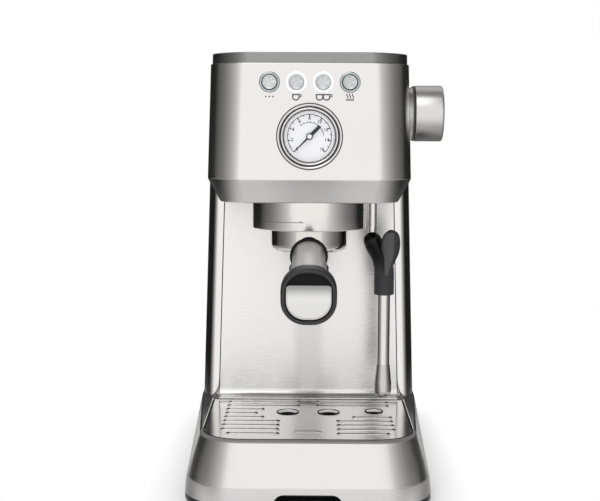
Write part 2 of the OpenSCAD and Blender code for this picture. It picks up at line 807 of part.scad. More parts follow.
module group_collar() {
    color([0.1, 0.1, 0.1]) on_group(group_low + 0.6) difference() {
        cylinder(h = head_low - group_low - 0.41, r = collar_r - 0.1, $fn = 96);
        translate([0, 0, -1]) cylinder(h = big, r = group_body_r + 0.1, $fn = 96);
    }
}

// A ring sector, centred on an angle
module sector(r0, r1, h, middle, span) {
    rotate([0, 0, middle - span / 2]) rotate_extrude(angle = span, $fn = 96)
        translate([r0, 0]) square([r1 - r0, h]);
}

module group_head() {
    bore_h = gasket_low + gasket_t + 3 - group_low;
    color([0.66, 0.66, 0.66]) difference() {
        on_group(group_low + 1) union() {
            cylinder(h = group_top - group_low - 1, r = group_body_r - 6);
            cylinder(h = head_low + floor_t - group_low - 1, r = group_body_r);
            translate([0, 0, head_low + floor_t - group_low - 1]) cylinder(h = 4, r = group_body_r + 4);
        }
        on_group(group_low) cylinder(h = bore_h, r = group_bore_r, $fn = 96);
        on_group(channel_low) cylinder(h = channel_h, r = channel_r, $fn = 96);
        for (a = [0, 180]) on_group(group_low - 1)
            sector(group_bore_r - 1, channel_r + 0.2, channel_low - group_low + 2,
                a - lock_angle, lug_angle + 3);
        on_group(group_low) cylinder(h = big, r = 2.5, $fn = 24);
        on_group(group_low + bore_h - film) cylinder(h = 3, r = 20);
    }
}

module group_gasket() {
    color([0.1, 0.1, 0.1]) on_group(gasket_low) difference() {
        cylinder(h = gasket_t, r = group_bore_r - 0.1);
        translate([0, 0, -1]) cylinder(h = 20, r = basket_r - 1);
    }
}

module shower_screen() {
    r = basket_r - 1.4;
    color([0.75, 0.75, 0.74]) on_group(gasket_low) difference() {
        union() {
            cylinder(h = 1.2, r = r);
            difference() {
                cylinder(h = gasket_t + 2.9, r = r);
                translate([0, 0, -1]) cylinder(h = 20, r = r - 1);
            }
        }
        translate([0, 0, -1]) cylinder(h = 20, r = 2, $fn = 24);
        for (ring = [1:3], i = [0:6 * ring - 1]) rotate([0, 0, 60 * i / ring])
            translate([4 + 4.5 * ring, 0, -1]) cylinder(h = 5, r = 0.9, $fn = 16);
    }
}

module screen_screw() {
    color([0.7, 0.7, 0.7]) on_group(gasket_low - 2) difference() {
        union() {
            cylinder(h = 1.9, r = 3.6);
            cylinder(h = 14, r = 1.8);
        }
        translate([-3, -0.5, -1]) cube([6, 1, 1.8]);
    }
}

// ---------------------------------------------------------------- portafilter

module portafilter_body() {
    e = cup_edge_r;
    color([0.7, 0.7, 0.7]) {
        difference() {
            union() {
                on_group(0) rotate_extrude($fn = 96) polygon(concat([[0, cup_low]],
                    arc(cup_r - e, cup_low + e, e, e, -90, 0), [[cup_r, rim_top], [0, rim_top]]));
                on_group(channel_low + gap) for (a = [0, 180])
                    sector(cup_r - 1, channel_r - gap, lug_t, a, lug_angle);
                on_handle(20) cylinder(h = neck_start - 20, r = neck_r, $fn = 48);
            }
            on_group(cup_low + cup_wall) cylinder(h = big, r = basket_r + 0.4, $fn = 96);
            on_group(rim_top - 1.2) cylinder(h = big, r = cup_r - 0.8, $fn = 96);
            on_group(cup_low - 40) cylinder(h = 40 + cup_wall + 1, r = 4, $fn = 32);
            on_group(cup_low - 20) cylinder(h = 20, r = cup_r - 8);
            on_handle(neck_start - 6) cylinder(h = 10, r = 4 + pin_gap, $fn = 32);
        }
    }
}

module filter_basket() {
    t = 0.8;
    low = cup_low + cup_wall + 1.5;
    color([0.8, 0.8, 0.79]) on_group(0) difference() {
        rotate_extrude($fn = 96) polygon([[0, low], [basket_r - 3, low], [basket_r, low + 6],
            [basket_r, rim_top - 1.15], [cup_r - 1, rim_top - 1.15], [cup_r - 1, rim_top - 1.15 + t],
            [basket_r - t, rim_top - 1.15 + t], [basket_r - t, low + 6 + t / 3],
            [basket_r - 3 - t / 2, low + t], [0, low + t]]);
        for (ring = [1:3], i = [0:6 * ring - 1]) rotate([0, 0, 60 * i / ring + 15])
            translate([5.4 * ring, 0, 0]) cylinder(h = big, r = 0.8, $fn = 16);
    }
}

module portafilter_spout() {
    r = 4.6;
    x = outlet_pitch / 2;
    hub_low = cup_low - 6;
    color([0.7, 0.7, 0.7]) on_group(0) difference() {
        union() {
            translate([0, 0, hub_low]) cylinder(h = cup_low - hub_low, r = 8, $fn = 48);
            for (side = [-1, 1]) pipe([[0, 0, hub_low + 2], [side * x, 0, hub_low - 8],
                [side * x, 0, outlet_low]], r);
        }
        for (side = [-1, 1]) pipe([[0, 0, hub_low + 2], [side * x, 0, hub_low - 8],
            [side * x, 0, outlet_low - 1]], 1.9);
        translate([0, 0, hub_low + 1]) cylinder(h = 20, r = 4, $fn = 32);
    }
}

seal_t = 2.4;
neck_taper = 0.4;

module neck_seal() {
    color([0.08, 0.08, 0.08]) on_handle(neck_start) difference() {
        cylinder(h = seal_t, r = neck_r + 2, $fn = 48);
        translate([0, 0, -1]) cylinder(h = 10, r = 4 + pin_gap, $fn = 32);
    }
}

module portafilter_neck() {
    low = neck_start + seal_t;
    color([0.78, 0.76, 0.73]) on_handle(low) difference() {
        union() {
            cylinder(h = grip_start - low, r1 = neck_r, r2 = neck_r - neck_taper, $fn = 48);
            translate([0, 0, -seal_t - 5]) cylinder(h = seal_t + 6, r = 4, $fn = 32);
        }
        translate([0, 0, grip_start - low - 12]) cylinder(h = 20, r = 6 + pin_gap, $fn = 32);
    }
}

// Outline of the end of the grip
module grip_outline(inset) {
    x = grip_w / 2 - inset;
    y = grip_h / 2 - inset;
    r = grip_r - inset;
    polygon(concat(arc(x - r, r - y, r, r, -90, 0), arc(x - r, y - r, r, r, 0, 90),
        arc(r - x, y - r, r, r, 90, 180), arc(r - x, r - y, r, r, 180, 270)));
}

badge_drop = 4;
recess_d = 2.2;

module portafilter_grip() {
    color([0.15, 0.15, 0.16]) difference() {
        union() {
            hull() {
                on_handle(grip_start) cylinder(h = 2, r = neck_r - neck_taper + 0.3, $fn = hull_fn);
                on_handle(grip_end - 16) linear_extrude(1) grip_outline(2.2);
                on_handle(grip_end - 8) linear_extrude(6) grip_outline(0);
                on_handle(grip_end - film) linear_extrude(film) grip_outline(1.4);
            }
            on_handle(grip_start - 10) cylinder(h = 12, r = 6, $fn = 32);
        }
        on_handle(grip_end - recess_d) linear_extrude(10) grip_outline(3.2);
    }
}

module grip_badge() {
    color([0.85, 0.85, 0.87]) on_handle(grip_end - recess_d) linear_extrude(recess_d - 0.6) intersection() {
        grip_outline(3.4);
        translate([-grip_w / 2, -grip_h / 2]) square([grip_w, grip_h - 3.4 - badge_drop - 4]);
    }
}

// ---------------------------------------------------------------- steam wand

module steam_pipe() {
    high = knob_z - 9;
    color([0.8, 0.8, 0.8]) translate([wand_x, -wand_y, wand_z + ball_r + 0.1])
        cylinder(h = high - wand_z - ball_r - 0.1, r = pipe_r, $fn = 40);
}

module wand_ball() {
    color([0.06, 0.06, 0.06]) translate([wand_x, -wand_y, wand_z]) sphere(r = ball_r, $fn = 48);
}

module wand_sleeve() {
    shoulder = wand_z - 12;
    color([0.14, 0.14, 0.15]) difference() {
        union() {
            hull() {
                translate([wand_x + 3.4, -wand_y, wand_z - 4.4])
                    sphere(r = ball_r - 0.2, $fn = hull_fn);
                translate([wand_tube_x, -wand_y, shoulder])
                    cylinder(h = 1, r = sleeve_r - 0.4, $fn = hull_fn);
                translate([wand_tube_x, -wand_y, shoulder - 8])
                    cylinder(h = 1, r = sleeve_r - 0.2, $fn = hull_fn);
            }
            translate([wand_tube_x, -wand_y, sleeve_low])
                cylinder(h = shoulder - 7 - sleeve_low, r1 = sleeve_r, r2 = sleeve_r - 0.2, $fn = 40);
        }
        translate([wand_x, -wand_y, wand_z]) sphere(r = ball_r + gap, $fn = 48);
        translate([wand_tube_x, -wand_y, sleeve_low - 1]) cylinder(h = 13, r = tube_r + 0.02, $fn = 40);
    }
}

module wand_tab() {
    t = 4.2;
    color([0.17, 0.17, 0.18]) translate([wand_tube_x, -wand_y - sleeve_r - 0.1, wand_z]) rotate([90, 0, 0])
        hull() {
            translate([5.4, -0.8, 0.6]) cylinder(h = t - 0.6, r = 7.4, $fn = hull_fn);
            translate([6, 3, 0.6]) cylinder(h = t - 0.6, r = 6.2, $fn = hull_fn);
            translate([1.6, -25, 0]) cylinder(h = t - 0.8, r = 3, $fn = hull_fn);
        }
}

module wand_tube() {
    color([0.82, 0.82, 0.81]) translate([wand_tube_x, -wand_y, tip_top]) difference() {
        cylinder(h = sleeve_low + 12 - tip_top, r = tube_r, $fn = 40);
        translate([0, 0, -1]) cylinder(h = big, r = tube_r - 2.2, $fn = 24);
    }
}

module wand_tip() {
    e = 5;
    wide = tip_low + 11;
    color([0.8, 0.8, 0.79]) translate([wand_tube_x, -wand_y, 0]) difference() {
        rotate_extrude($fn = 48) polygon(concat([[0, tip_low]],
            arc(tip_r - e, tip_low + e, e, e, -90, 0),
            [[tip_r, wide], [tube_r + 0.3, tip_top], [0, tip_top]]));
        translate([0, 0, tip_low - 1]) cylinder(h = 40, r = 1, $fn = 16);
    }
}

// ---------------------------------------------------------------- gauge

gauge_back = 2.4;
gauge_y = panel_at(gauge_z - gauge_r) - gauge_back - film;

module gauge_case() {
    depth = gauge_d + gauge_back;
    color([0.72, 0.72, 0.72]) into_panel(0, gauge_y, gauge_z) difference() {
        union() {
            rotate_extrude($fn = 96) polygon([[0, 0.8], [gauge_r - 1.2, 0], [gauge_r, 1],
                [gauge_r, gauge_back], [gauge_r - 2, gauge_back], [gauge_r - 2, depth], [0, depth]]);
            translate([0, 0, depth - film]) cylinder(h = 6, r = 5, $fn = 32);
        }
        translate([0, 0, -1]) cylinder(h = 8, r = dial_r, $fn = 96);
        rotate_extrude($fn = 96) polygon([[0, -1], [dial_r + 2.4, -1], [dial_r + 2.4, 0.9],
            [dial_r, 1.4], [0, 1.4]]);
        translate([0, 0, depth - 10]) cylinder(h = 30, r = 2, $fn = 24);
    }
}

module gauge_dial() {
    color([0.95, 0.95, 0.95]) into_panel(0, gauge_y + 6, gauge_z) difference() {
        cylinder(h = 0.9, r = dial_r - 0.1, $fn = 96);
        translate([0, 0, -1]) cylinder(h = 3, r = 1, $fn = 24);
    }
}

module gauge_glass() {
    color([0.9, 0.95, 1, 0.3]) into_panel(0, gauge_y + 1.5, gauge_z)
        cylinder(h = 1.4, r = dial_r - 0.1, $fn = 96);
}

module gauge_needle() {
    color([0.2, 0.2, 0.22]) into_panel(0, gauge_y + 3.8, gauge_z) rotate([0, 0, -45]) difference() {
        union() {
            linear_extrude(0.6) polygon([[-0.25, 0], [-14.4, 0.2], [-14.4, -0.2], [0, -0.9], [0, -1.3],
                [10.6, -1.3], [10.6, 1.3], [0, 1.3], [0, 0.9]]);
            cylinder(h = 0.9, r = 2.4, $fn = 32);
            cylinder(h = 2, r = 0.8, $fn = 24);
        }
    }
}

// ---------------------------------------------------------------- buttons and board

ring_out = 0.9;
cap_out = 1.9;
panel_y_front = panel_at(button_z - ring_r) - film;
board_depth = 14;
board_y = panel_y_front + board_depth;

module button_rings() {
    color([0.6, 0.65, 0.65]) for (x = button_xs)
        into_panel(x, panel_y_front - ring_out, button_z) difference() {
        union() {
            cylinder(h = ring_out, r1 = ring_r - 0.6, r2 = ring_r, $fn = 48);
            cylinder(h = ring_out + 8, r = ring_r - 1.1, $fn = 48);
        }
        translate([0, 0, -1]) cylinder(h = 20, r = button_r + gap, $fn = 48);
    }
}

module button(i) {
    stem = board_y - 1.6 - button_travel - gap - (panel_y_front - cap_out);
    color([0.7, 0.7, 0.7]) into_panel(button_xs[i], panel_y_front - cap_out, button_z) {
        cylinder(h = 0.8, r1 = button_r - 0.6, r2 = button_r, $fn = 48);
        translate([0, 0, 0.8]) cylinder(h = 6, r = button_r, $fn = 48);
        cylinder(h = stem, r = 2, $fn = 24);
    }
}

module program_button() {
    button(0);
}

module single_cup_button() {
    button(1);
}

module double_cup_button() {
    button(2);
}

module steam_button() {
    button(3);
}

module control_board() {
    w = 4 * button_pitch + 8;
    color([0.1, 0.35, 0.2]) {
        translate([-w / 2, board_y, button_z - 10]) cube([w, 1.6, 20]);
        for (x = button_xs) translate([x - 3, board_y - 1.6 + film, button_z - 3]) cube([6, 1.6, 6]);
        // Posts that hold the board to the front panel
        for (x = [-2, 0, 2]) into_panel(x * button_pitch, panel_y_front + sheet + gap, button_z - 8.4)
            cylinder(h = board_y - panel_y_front - sheet - gap + film, r = 1.4, $fn = 20);
    }
}

// ---------------------------------------------------------------- steam knob and valve

knob_skin = head_half(knob_z) + (half_w(knob_z) - head_half(knob_z))
    * (head_reach - head_r - knob_y) / (head_reach - head_r + corner_d);
knob_x = knob_skin + knob_stand;

module on_knob(x) {
    translate([x, -knob_y, knob_z]) rotate([0, 90, 0]) children();
}

module steam_knob() {
    e = 3;
    dish = 0.8;
    stem = 22;
    color([0.75, 0.75, 0.74]) on_knob(knob_x) {
        rotate_extrude($fn = 96) polygon(concat([[0, 0], [knob_r - 0.6, 0], [knob_r, 0.8]],
            arc(knob_r - e, knob_l - e, e, e, 0, 90), [[knob_r - 5, knob_l - dish], [0, knob_l - dish]]));
        translate([0, 0, -stem]) cylinder(h = stem + 1, r = stem_r, $fn = 32);
    }
}

module knob_bezel() {
    color([0.12, 0.12, 0.12]) difference() {
        on_knob(knob_skin - 2) cylinder(h = knob_x - knob_skin + 2 - gap, r = knob_r + 1.2, $fn = 96);
        head_form(0);
        on_knob(0) cylinder(h = big, r = stem_r + 3.5, $fn = 48);
    }
}

valve_left = wand_x - 12;

module steam_valve() {
    nut = knob_skin - sheet - 3;
    color([0.75, 0.62, 0.35]) difference() {
        union() {
            on_knob(valve_left) cylinder(h = nut - valve_left, r = 8.4, $fn = 48);
            on_knob(valve_left) cylinder(h = knob_x - valve_left - 3, r = stem_r + 3.4, $fn = 48);
        }
        on_knob(knob_x - 24) cylinder(h = 60, r = stem_r + pin_gap, $fn = 32);
    }
}

// ---------------------------------------------------------------- inner pieces

thermo_low = head_low + floor_t + 14;
thermo_front = corner_d + 2;
thermo_port = 6;
port_x = 20;
port_z = thermo_low + 10;
inlet_x = 30;
pump_z = 46;
pump_y = 40;
pump_x = -46;
pump_r = 21;
pump_l = 86;
solenoid_x = -45;
solenoid_z = thermo_low - 44.1;

module thermoblock() {
    w = 96;
    h = 50;
    color([0.6, 0.6, 0.62]) difference() {
        union() {
            translate([-w / 2, thermo_front, thermo_low]) cube([w, frame_y - thermo_front, h]);
            for (p = [[-port_x, port_z], [0, gauge_z], [port_x, port_z]])
                into_panel(p[0], thermo_front - thermo_port, p[1])
                    cylinder(h = thermo_port + 2, r = 5, $fn = 32);
            translate([inlet_x, (thermo_front + frame_y) / 2, thermo_low - 5])
                cylinder(h = 6, r = 5, $fn = 32);
        }
        for (i = [0:6]) translate([-w / 2 + 7 + 13 * i, thermo_front - 1, thermo_low + h - 12])
            cube([4, 8, h]);
    }
}

module pump() {
    body_l = 62;
    nose_l = 16;
    color([0.25, 0.25, 0.27]) translate([pump_x, pump_y, pump_z]) rotate([0, 90, 0]) {
        cylinder(h = body_l, r = pump_r);
        translate([0, 0, body_l]) cylinder(h = nose_l, r = 13);
        translate([0, 0, body_l + nose_l]) cylinder(h = pump_l - body_l - nose_l, r = 5, $fn = 32);
        translate([0, 0, -8]) cylinder(h = 8, r = 6, $fn = 32);
    }
}

module pump_mounts() {
    color([0.1, 0.1, 0.1]) for (x = [-40, 4]) difference() {
        translate([x, pump_y - 16, 10]) cube([8, 32, pump_z - 16]);
        translate([x - 1, pump_y, pump_z]) rotate([0, 90, 0]) cylinder(h = 20, r = pump_r + 0.05);
    }
}

module solenoid_valve() {
    color([0.3, 0.3, 0.35]) {
        translate([solenoid_x - 13, frame_y - 26, solenoid_z - 14]) cube([26, 26, 28]);
        translate([solenoid_x, frame_y - 13, solenoid_z + 14]) cylinder(h = 8, r = 6, $fn = 32);
        translate([solenoid_x, frame_y - 13, solenoid_z - 22]) cylinder(h = 8, r = 4, $fn = 32);
    }
}

meter_z = 108;

module flow_meter() {
    color([0.8, 0.8, 0.75]) {
        translate([40, frame_y - 18, meter_z]) rotate([-90, 0, 0]) cylinder(h = 18, r = 14);
        translate([40, frame_y - 9, meter_z + 13]) cylinder(h = 8, r = 4, $fn = 32);
        translate([40, frame_y - 9, meter_z - 21]) cylinder(h = 8, r = 4, $fn = 32);
    }
}

module water_hoses() {
    hose_y = (thermo_front + frame_y) / 2;
    port = thermo_front - thermo_port;
    color([0.85, 0.85, 0.85]) {
        // Thermoblock to group
        pipe([[-port_x, port, port_z], [-port_x, -group_y, port_z], [0, -group_y, port_z],
            [0, -group_y, group_top]], 2.4);
        // Thermoblock to gauge
        pipe([[0, port, gauge_z], [0, gauge_y + gauge_back + gauge_d + 6, gauge_z]], 2);
        // Thermoblock to steam valve
        pipe([[port_x, port, port_z], [port_x, -knob_y, port_z], [port_x, -knob_y, knob_z],
            [valve_left, -knob_y, knob_z]], 2.4);
        // Pump to thermoblock
        pipe([[pump_x + pump_l, pump_y, pump_z], [58, pump_y, pump_z], [58, pump_y, 150], [58, hose_y, 150],
            [inlet_x, hose_y, 150], [inlet_x, hose_y, thermo_low - 5]], 3);
        // Thermoblock to solenoid valve
        pipe([[solenoid_x, frame_y - 13, solenoid_z + 22], [solenoid_x, frame_y - 13, thermo_low]], 3);
    }
}

// ---------------------------------------------------------------- switch and gland

rocker_r = 9;
rocker_tilt = 7;

module power_switch() {
    color([0.08, 0.08, 0.08]) translate([switch_x, panel_y - 5.5, panel_mid_z]) rotate([-rocker_tilt, 0, 0])
        intersection() {
            translate([-9.6, 0, 0]) rotate([0, 90, 0]) cylinder(h = 19.2, r = rocker_r, $fn = 64);
            translate([-20, -4, -6.6]) cube([40, 30, 13.2]);
        }
}

module switch_bezel() {
    color([0.1, 0.1, 0.1]) translate([switch_x, panel_y, panel_mid_z]) difference() {
        translate([-13, 0, -11]) cube([26, 1.6, 22]);
        translate([-9.6 - gap, -1, -8.2]) cube([19.2 + 2 * gap, 10, 16.4]);
    }
}

module cord_gland() {
    color([0.1, 0.1, 0.1]) translate([gland_x, panel_y, panel_mid_z]) rotate([-90, 0, 0]) difference() {
        union() {
            cylinder(h = 2.4, r = 9, $fn = 48);
            translate([0, 0, -8]) cylinder(h = 9, r = 5.9, $fn = 48);
        }
        translate([0, 0, -9]) cylinder(h = 20, r = 3.6, $fn = 32);
    }
}

// ---------------------------------------------------------------- assembly

base_chassis();
feet();
base_screws();
base_skirt();
drip_tray();
tray_front();
drip_grid();
body_shell();
splash_panel();
rear_cover();
support_frame();
head_shell();
head_floor();
top_frame();
cup_tray();
water_tank();
tank_lid();
tank_valve();
tank_seal();
group_ring();
group_collar();
group_head();
group_gasket();
shower_screen();
screen_screw();
portafilter_body();
filter_basket();
portafilter_spout();
neck_seal();
portafilter_neck();
portafilter_grip();
grip_badge();
steam_pipe();
wand_ball();
wand_sleeve();
wand_tab();
wand_tube();
wand_tip();
gauge_case();
gauge_dial();
gauge_glass();
gauge_needle();
button_rings();
program_button();
single_cup_button();
double_cup_button();
steam_button();
control_board();
steam_knob();
knob_bezel();
steam_valve();
thermoblock();
pump();
pump_mounts();
solenoid_valve();
flow_meter();
water_hoses();
power_switch();
switch_bezel();
cord_gland();
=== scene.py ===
"""Looks of a slim espresso machine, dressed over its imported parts.

Every length in the classes below is in millimetres, as in the part's source, and is turned into
metres where a mesh is made. +Z is up, the front faces -Y and +X is to the right.
"""
import logging
import math
from contextlib import contextmanager
from dataclasses import dataclass
from enum import Enum
from functools import cache
from typing import Callable, Iterator, Sequence

import bmesh
import bpy
from mathutils import Matrix, Vector


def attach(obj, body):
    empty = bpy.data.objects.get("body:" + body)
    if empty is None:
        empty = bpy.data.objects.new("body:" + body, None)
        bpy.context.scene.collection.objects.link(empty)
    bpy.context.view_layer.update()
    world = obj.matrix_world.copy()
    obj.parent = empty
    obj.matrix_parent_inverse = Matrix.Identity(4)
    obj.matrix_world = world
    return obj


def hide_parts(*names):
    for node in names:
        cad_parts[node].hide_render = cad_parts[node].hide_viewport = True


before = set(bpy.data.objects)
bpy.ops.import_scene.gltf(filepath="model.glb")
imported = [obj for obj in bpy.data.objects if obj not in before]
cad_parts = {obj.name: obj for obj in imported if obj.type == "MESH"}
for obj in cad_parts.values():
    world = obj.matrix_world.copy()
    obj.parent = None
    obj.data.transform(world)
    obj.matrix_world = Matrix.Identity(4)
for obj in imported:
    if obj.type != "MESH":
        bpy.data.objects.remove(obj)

LOG = logging.getLogger("espresso")
MM = 0.001
TINY = 0.01
MERGE = 0.001
WHITE = (1.0, 1.0, 1.0, 1.0)
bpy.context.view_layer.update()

Point2 = tuple[float, float]
Point3 = tuple[float, float, float]
Loop2 = list[Point2]
Ring3 = list[Point3]
Placer = Callable[[float, float, float], Point3]
Picker = Callable[[Vector, Vector], bool]
Piece = bpy.types.Object
Node = bpy.types.Node
Socket = bpy.types.NodeSocket
Sockets = bpy.types.NodeOutputs
Tree = bpy.types.NodeTree


# ---- node trees


class Net:
    """One node tree, to which nodes are added with their settings, values and links."""

    def __init__(self, tree: Tree) -> None:
        """Takes over a tree and empties it."""
        self.tree = tree
        tree.nodes.clear()

    def add(self, kind: str, inputs: dict[str | int, object] | None = None,
            **settings: object) -> Node:
        """Adds a node.

        Args:
            kind: type of the node.
            inputs: for each input, its value or the socket that feeds it.
            settings: properties of the node.

        Returns:
            The new node.
        """
        node = self.tree.nodes.new(kind)
        for name, setting in settings.items():
            setattr(node, name, setting)
        for key, given in (inputs or {}).items():
            if isinstance(given, Socket):
                self.tree.links.new(given, node.inputs[key])
            else:
                node.inputs[key].default_value = given
        return node

    def calc(self, operation: str, *terms: Socket | float) -> Socket:
        """Result of a math node."""
        return self.add("ShaderNodeMath", dict(enumerate(terms)), operation=operation).outputs[0]

    def vector(self, operation: str, *terms: Socket | Point3) -> Socket:
        """Result of a vector math node."""
        node = self.add("ShaderNodeVectorMath", dict(enumerate(terms)), operation=operation)
        return node.outputs["Value" if operation == "LENGTH" else "Vector"]

    def share(self, value: Socket, low: float, high: float, first: float = 0.0,
              last: float = 1.0, **settings: object) -> Socket:
        """Maps low and high to first and last, which hold beyond them.

        Args:
            value: what is mapped.
            low: start of its range.
            high: end of its range.
            first: result at the start.
            last: result at the end.
            settings: properties of the node.

        Returns:
            The result.
        """
        return self.add("ShaderNodeMapRange", {
            "Value": value, "From Min": low, "From Max": high, "To Min": first, "To Max": last},
            **settings).outputs[0]

    def colours(self, factor: Socket | float, first: object, second: object,
                blend: str = "MIX") -> Socket:
        """Mixes or multiplies two colours.

        Args:
            factor: how much of the second one there is.
            first: a colour or its socket.
            second: a colour or its socket.
            blend: how they are mixed.

        Returns:
            The mixed colour.
        """
        return self.add("ShaderNodeMix", {0: factor, 6: first, 7: second}, data_type="RGBA",
                        blend_type=blend).outputs[2]

    def shaders(self, factor: Socket, first: Node, second: Node) -> Node:
        """Mixes two shaders."""
        return self.add("ShaderNodeMixShader",
                        {0: factor, 1: first.outputs[0], 2: second.outputs[0]})


def node_group(name: str, kind: str, inputs: dict[str, str | float],
               outputs: Sequence[tuple[str, str]]) -> tuple[Net, Sockets]:
    """Starts a node group with named sockets.

    Args:
        name: name of the group.
        kind: type of its tree.
        inputs: for each input, its type, or the default value of a float.
        outputs: name and type of each output.

    Returns:
        The group's net and the sockets that give its inputs.
    """
    net = Net(bpy.data.node_groups.new(name, kind))
    new_socket = net.tree.interface.new_socket
    for key, given in inputs.items():
        shape = given if isinstance(given, str) else "Float"
        socket = new_socket(key, in_out="INPUT", socket_type=f"NodeSocket{shape}")
        if shape != given:
            socket.default_value = given
    for key, shape in outputs:
        new_socket(key, in_out="OUTPUT", socket_type=f"NodeSocket{shape}")
    return net, net.add("NodeGroupInput").outputs


# ---- finishes


class Grain(Enum):
    """The way a surface was worked, which sets its fine texture."""

    BRUSHED = "brushed"
    TURNED = "turned"
    RADIAL = "radial"
    MOULDED = "moulded"
    CAST = "cast"


SPECKLE_SIZES = {Grain.MOULDED: 1600.0, Grain.CAST: 500.0}


class SurfaceGroups:
    """The node groups that several finishes share, each with a Height and a Tone about 0.5."""

    @staticmethod
    @cache
    def streaks() -> Tree:
        """Fine parallel scratches along the first axis of the stretched coordinates."""
        net, given = node_group("fine_streaks", "ShaderNodeTree", {
            "Stretched": "Vector", "Position": "Vector", "Detail": 4.0, "Clouds": 0.5},
            (("Height", "Float"), ("Tone", "Float")))
        fine = net.add("ShaderNodeTexNoise", {"Vector": given["Stretched"], "Scale": 1.0,
                                              "Detail": given["Detail"], "Roughness": 0.7})
        return SurfaceGroups._clouded(net, given, fine, 9.0, 2.0)

    @staticmethod
    @cache
    def speckle() -> Tree:
        """The even fine grain of a moulded or cast surface."""
        net, given = node_group("fine_speckle", "ShaderNodeTree", {
            "Position": "Vector", "Size": 1400.0, "Clouds": 0.5},
            (("Height", "Float"), ("Tone", "Float")))
        fine = net.add("ShaderNodeTexNoise", {"Vector": given["Position"],
                                              "Scale": given["Size"], "Detail": 3.0})
        return SurfaceGroups._clouded(net, given, fine, 14.0, 3.0)

    @staticmethod
    def _clouded(net: Net, given: Sockets, fine: Node, scale: float,
                 detail: float) -> Tree:
        """Ends a group: the fine noise is its height, and soft clouds join its tone.

        Args:
            net: the group's net.
            given: its inputs.
            fine: the fine noise.
            scale: scale of the clouds.
            detail: detail of the clouds.

        Returns:
            The finished group.
        """
        cloud = net.add("ShaderNodeTexNoise", {"Vector": given["Position"], "Scale": scale,
                                               "Detail": detail})
        height = fine.outputs["Fac"]
        tone = net.add("ShaderNodeMix", {0: given["Clouds"], 2: height, 3: cloud.outputs["Fac"]},
                       data_type="FLOAT")
        net.add("NodeGroupOutput", {"Height": height, "Tone": tone.outputs[0]})
        return net.tree


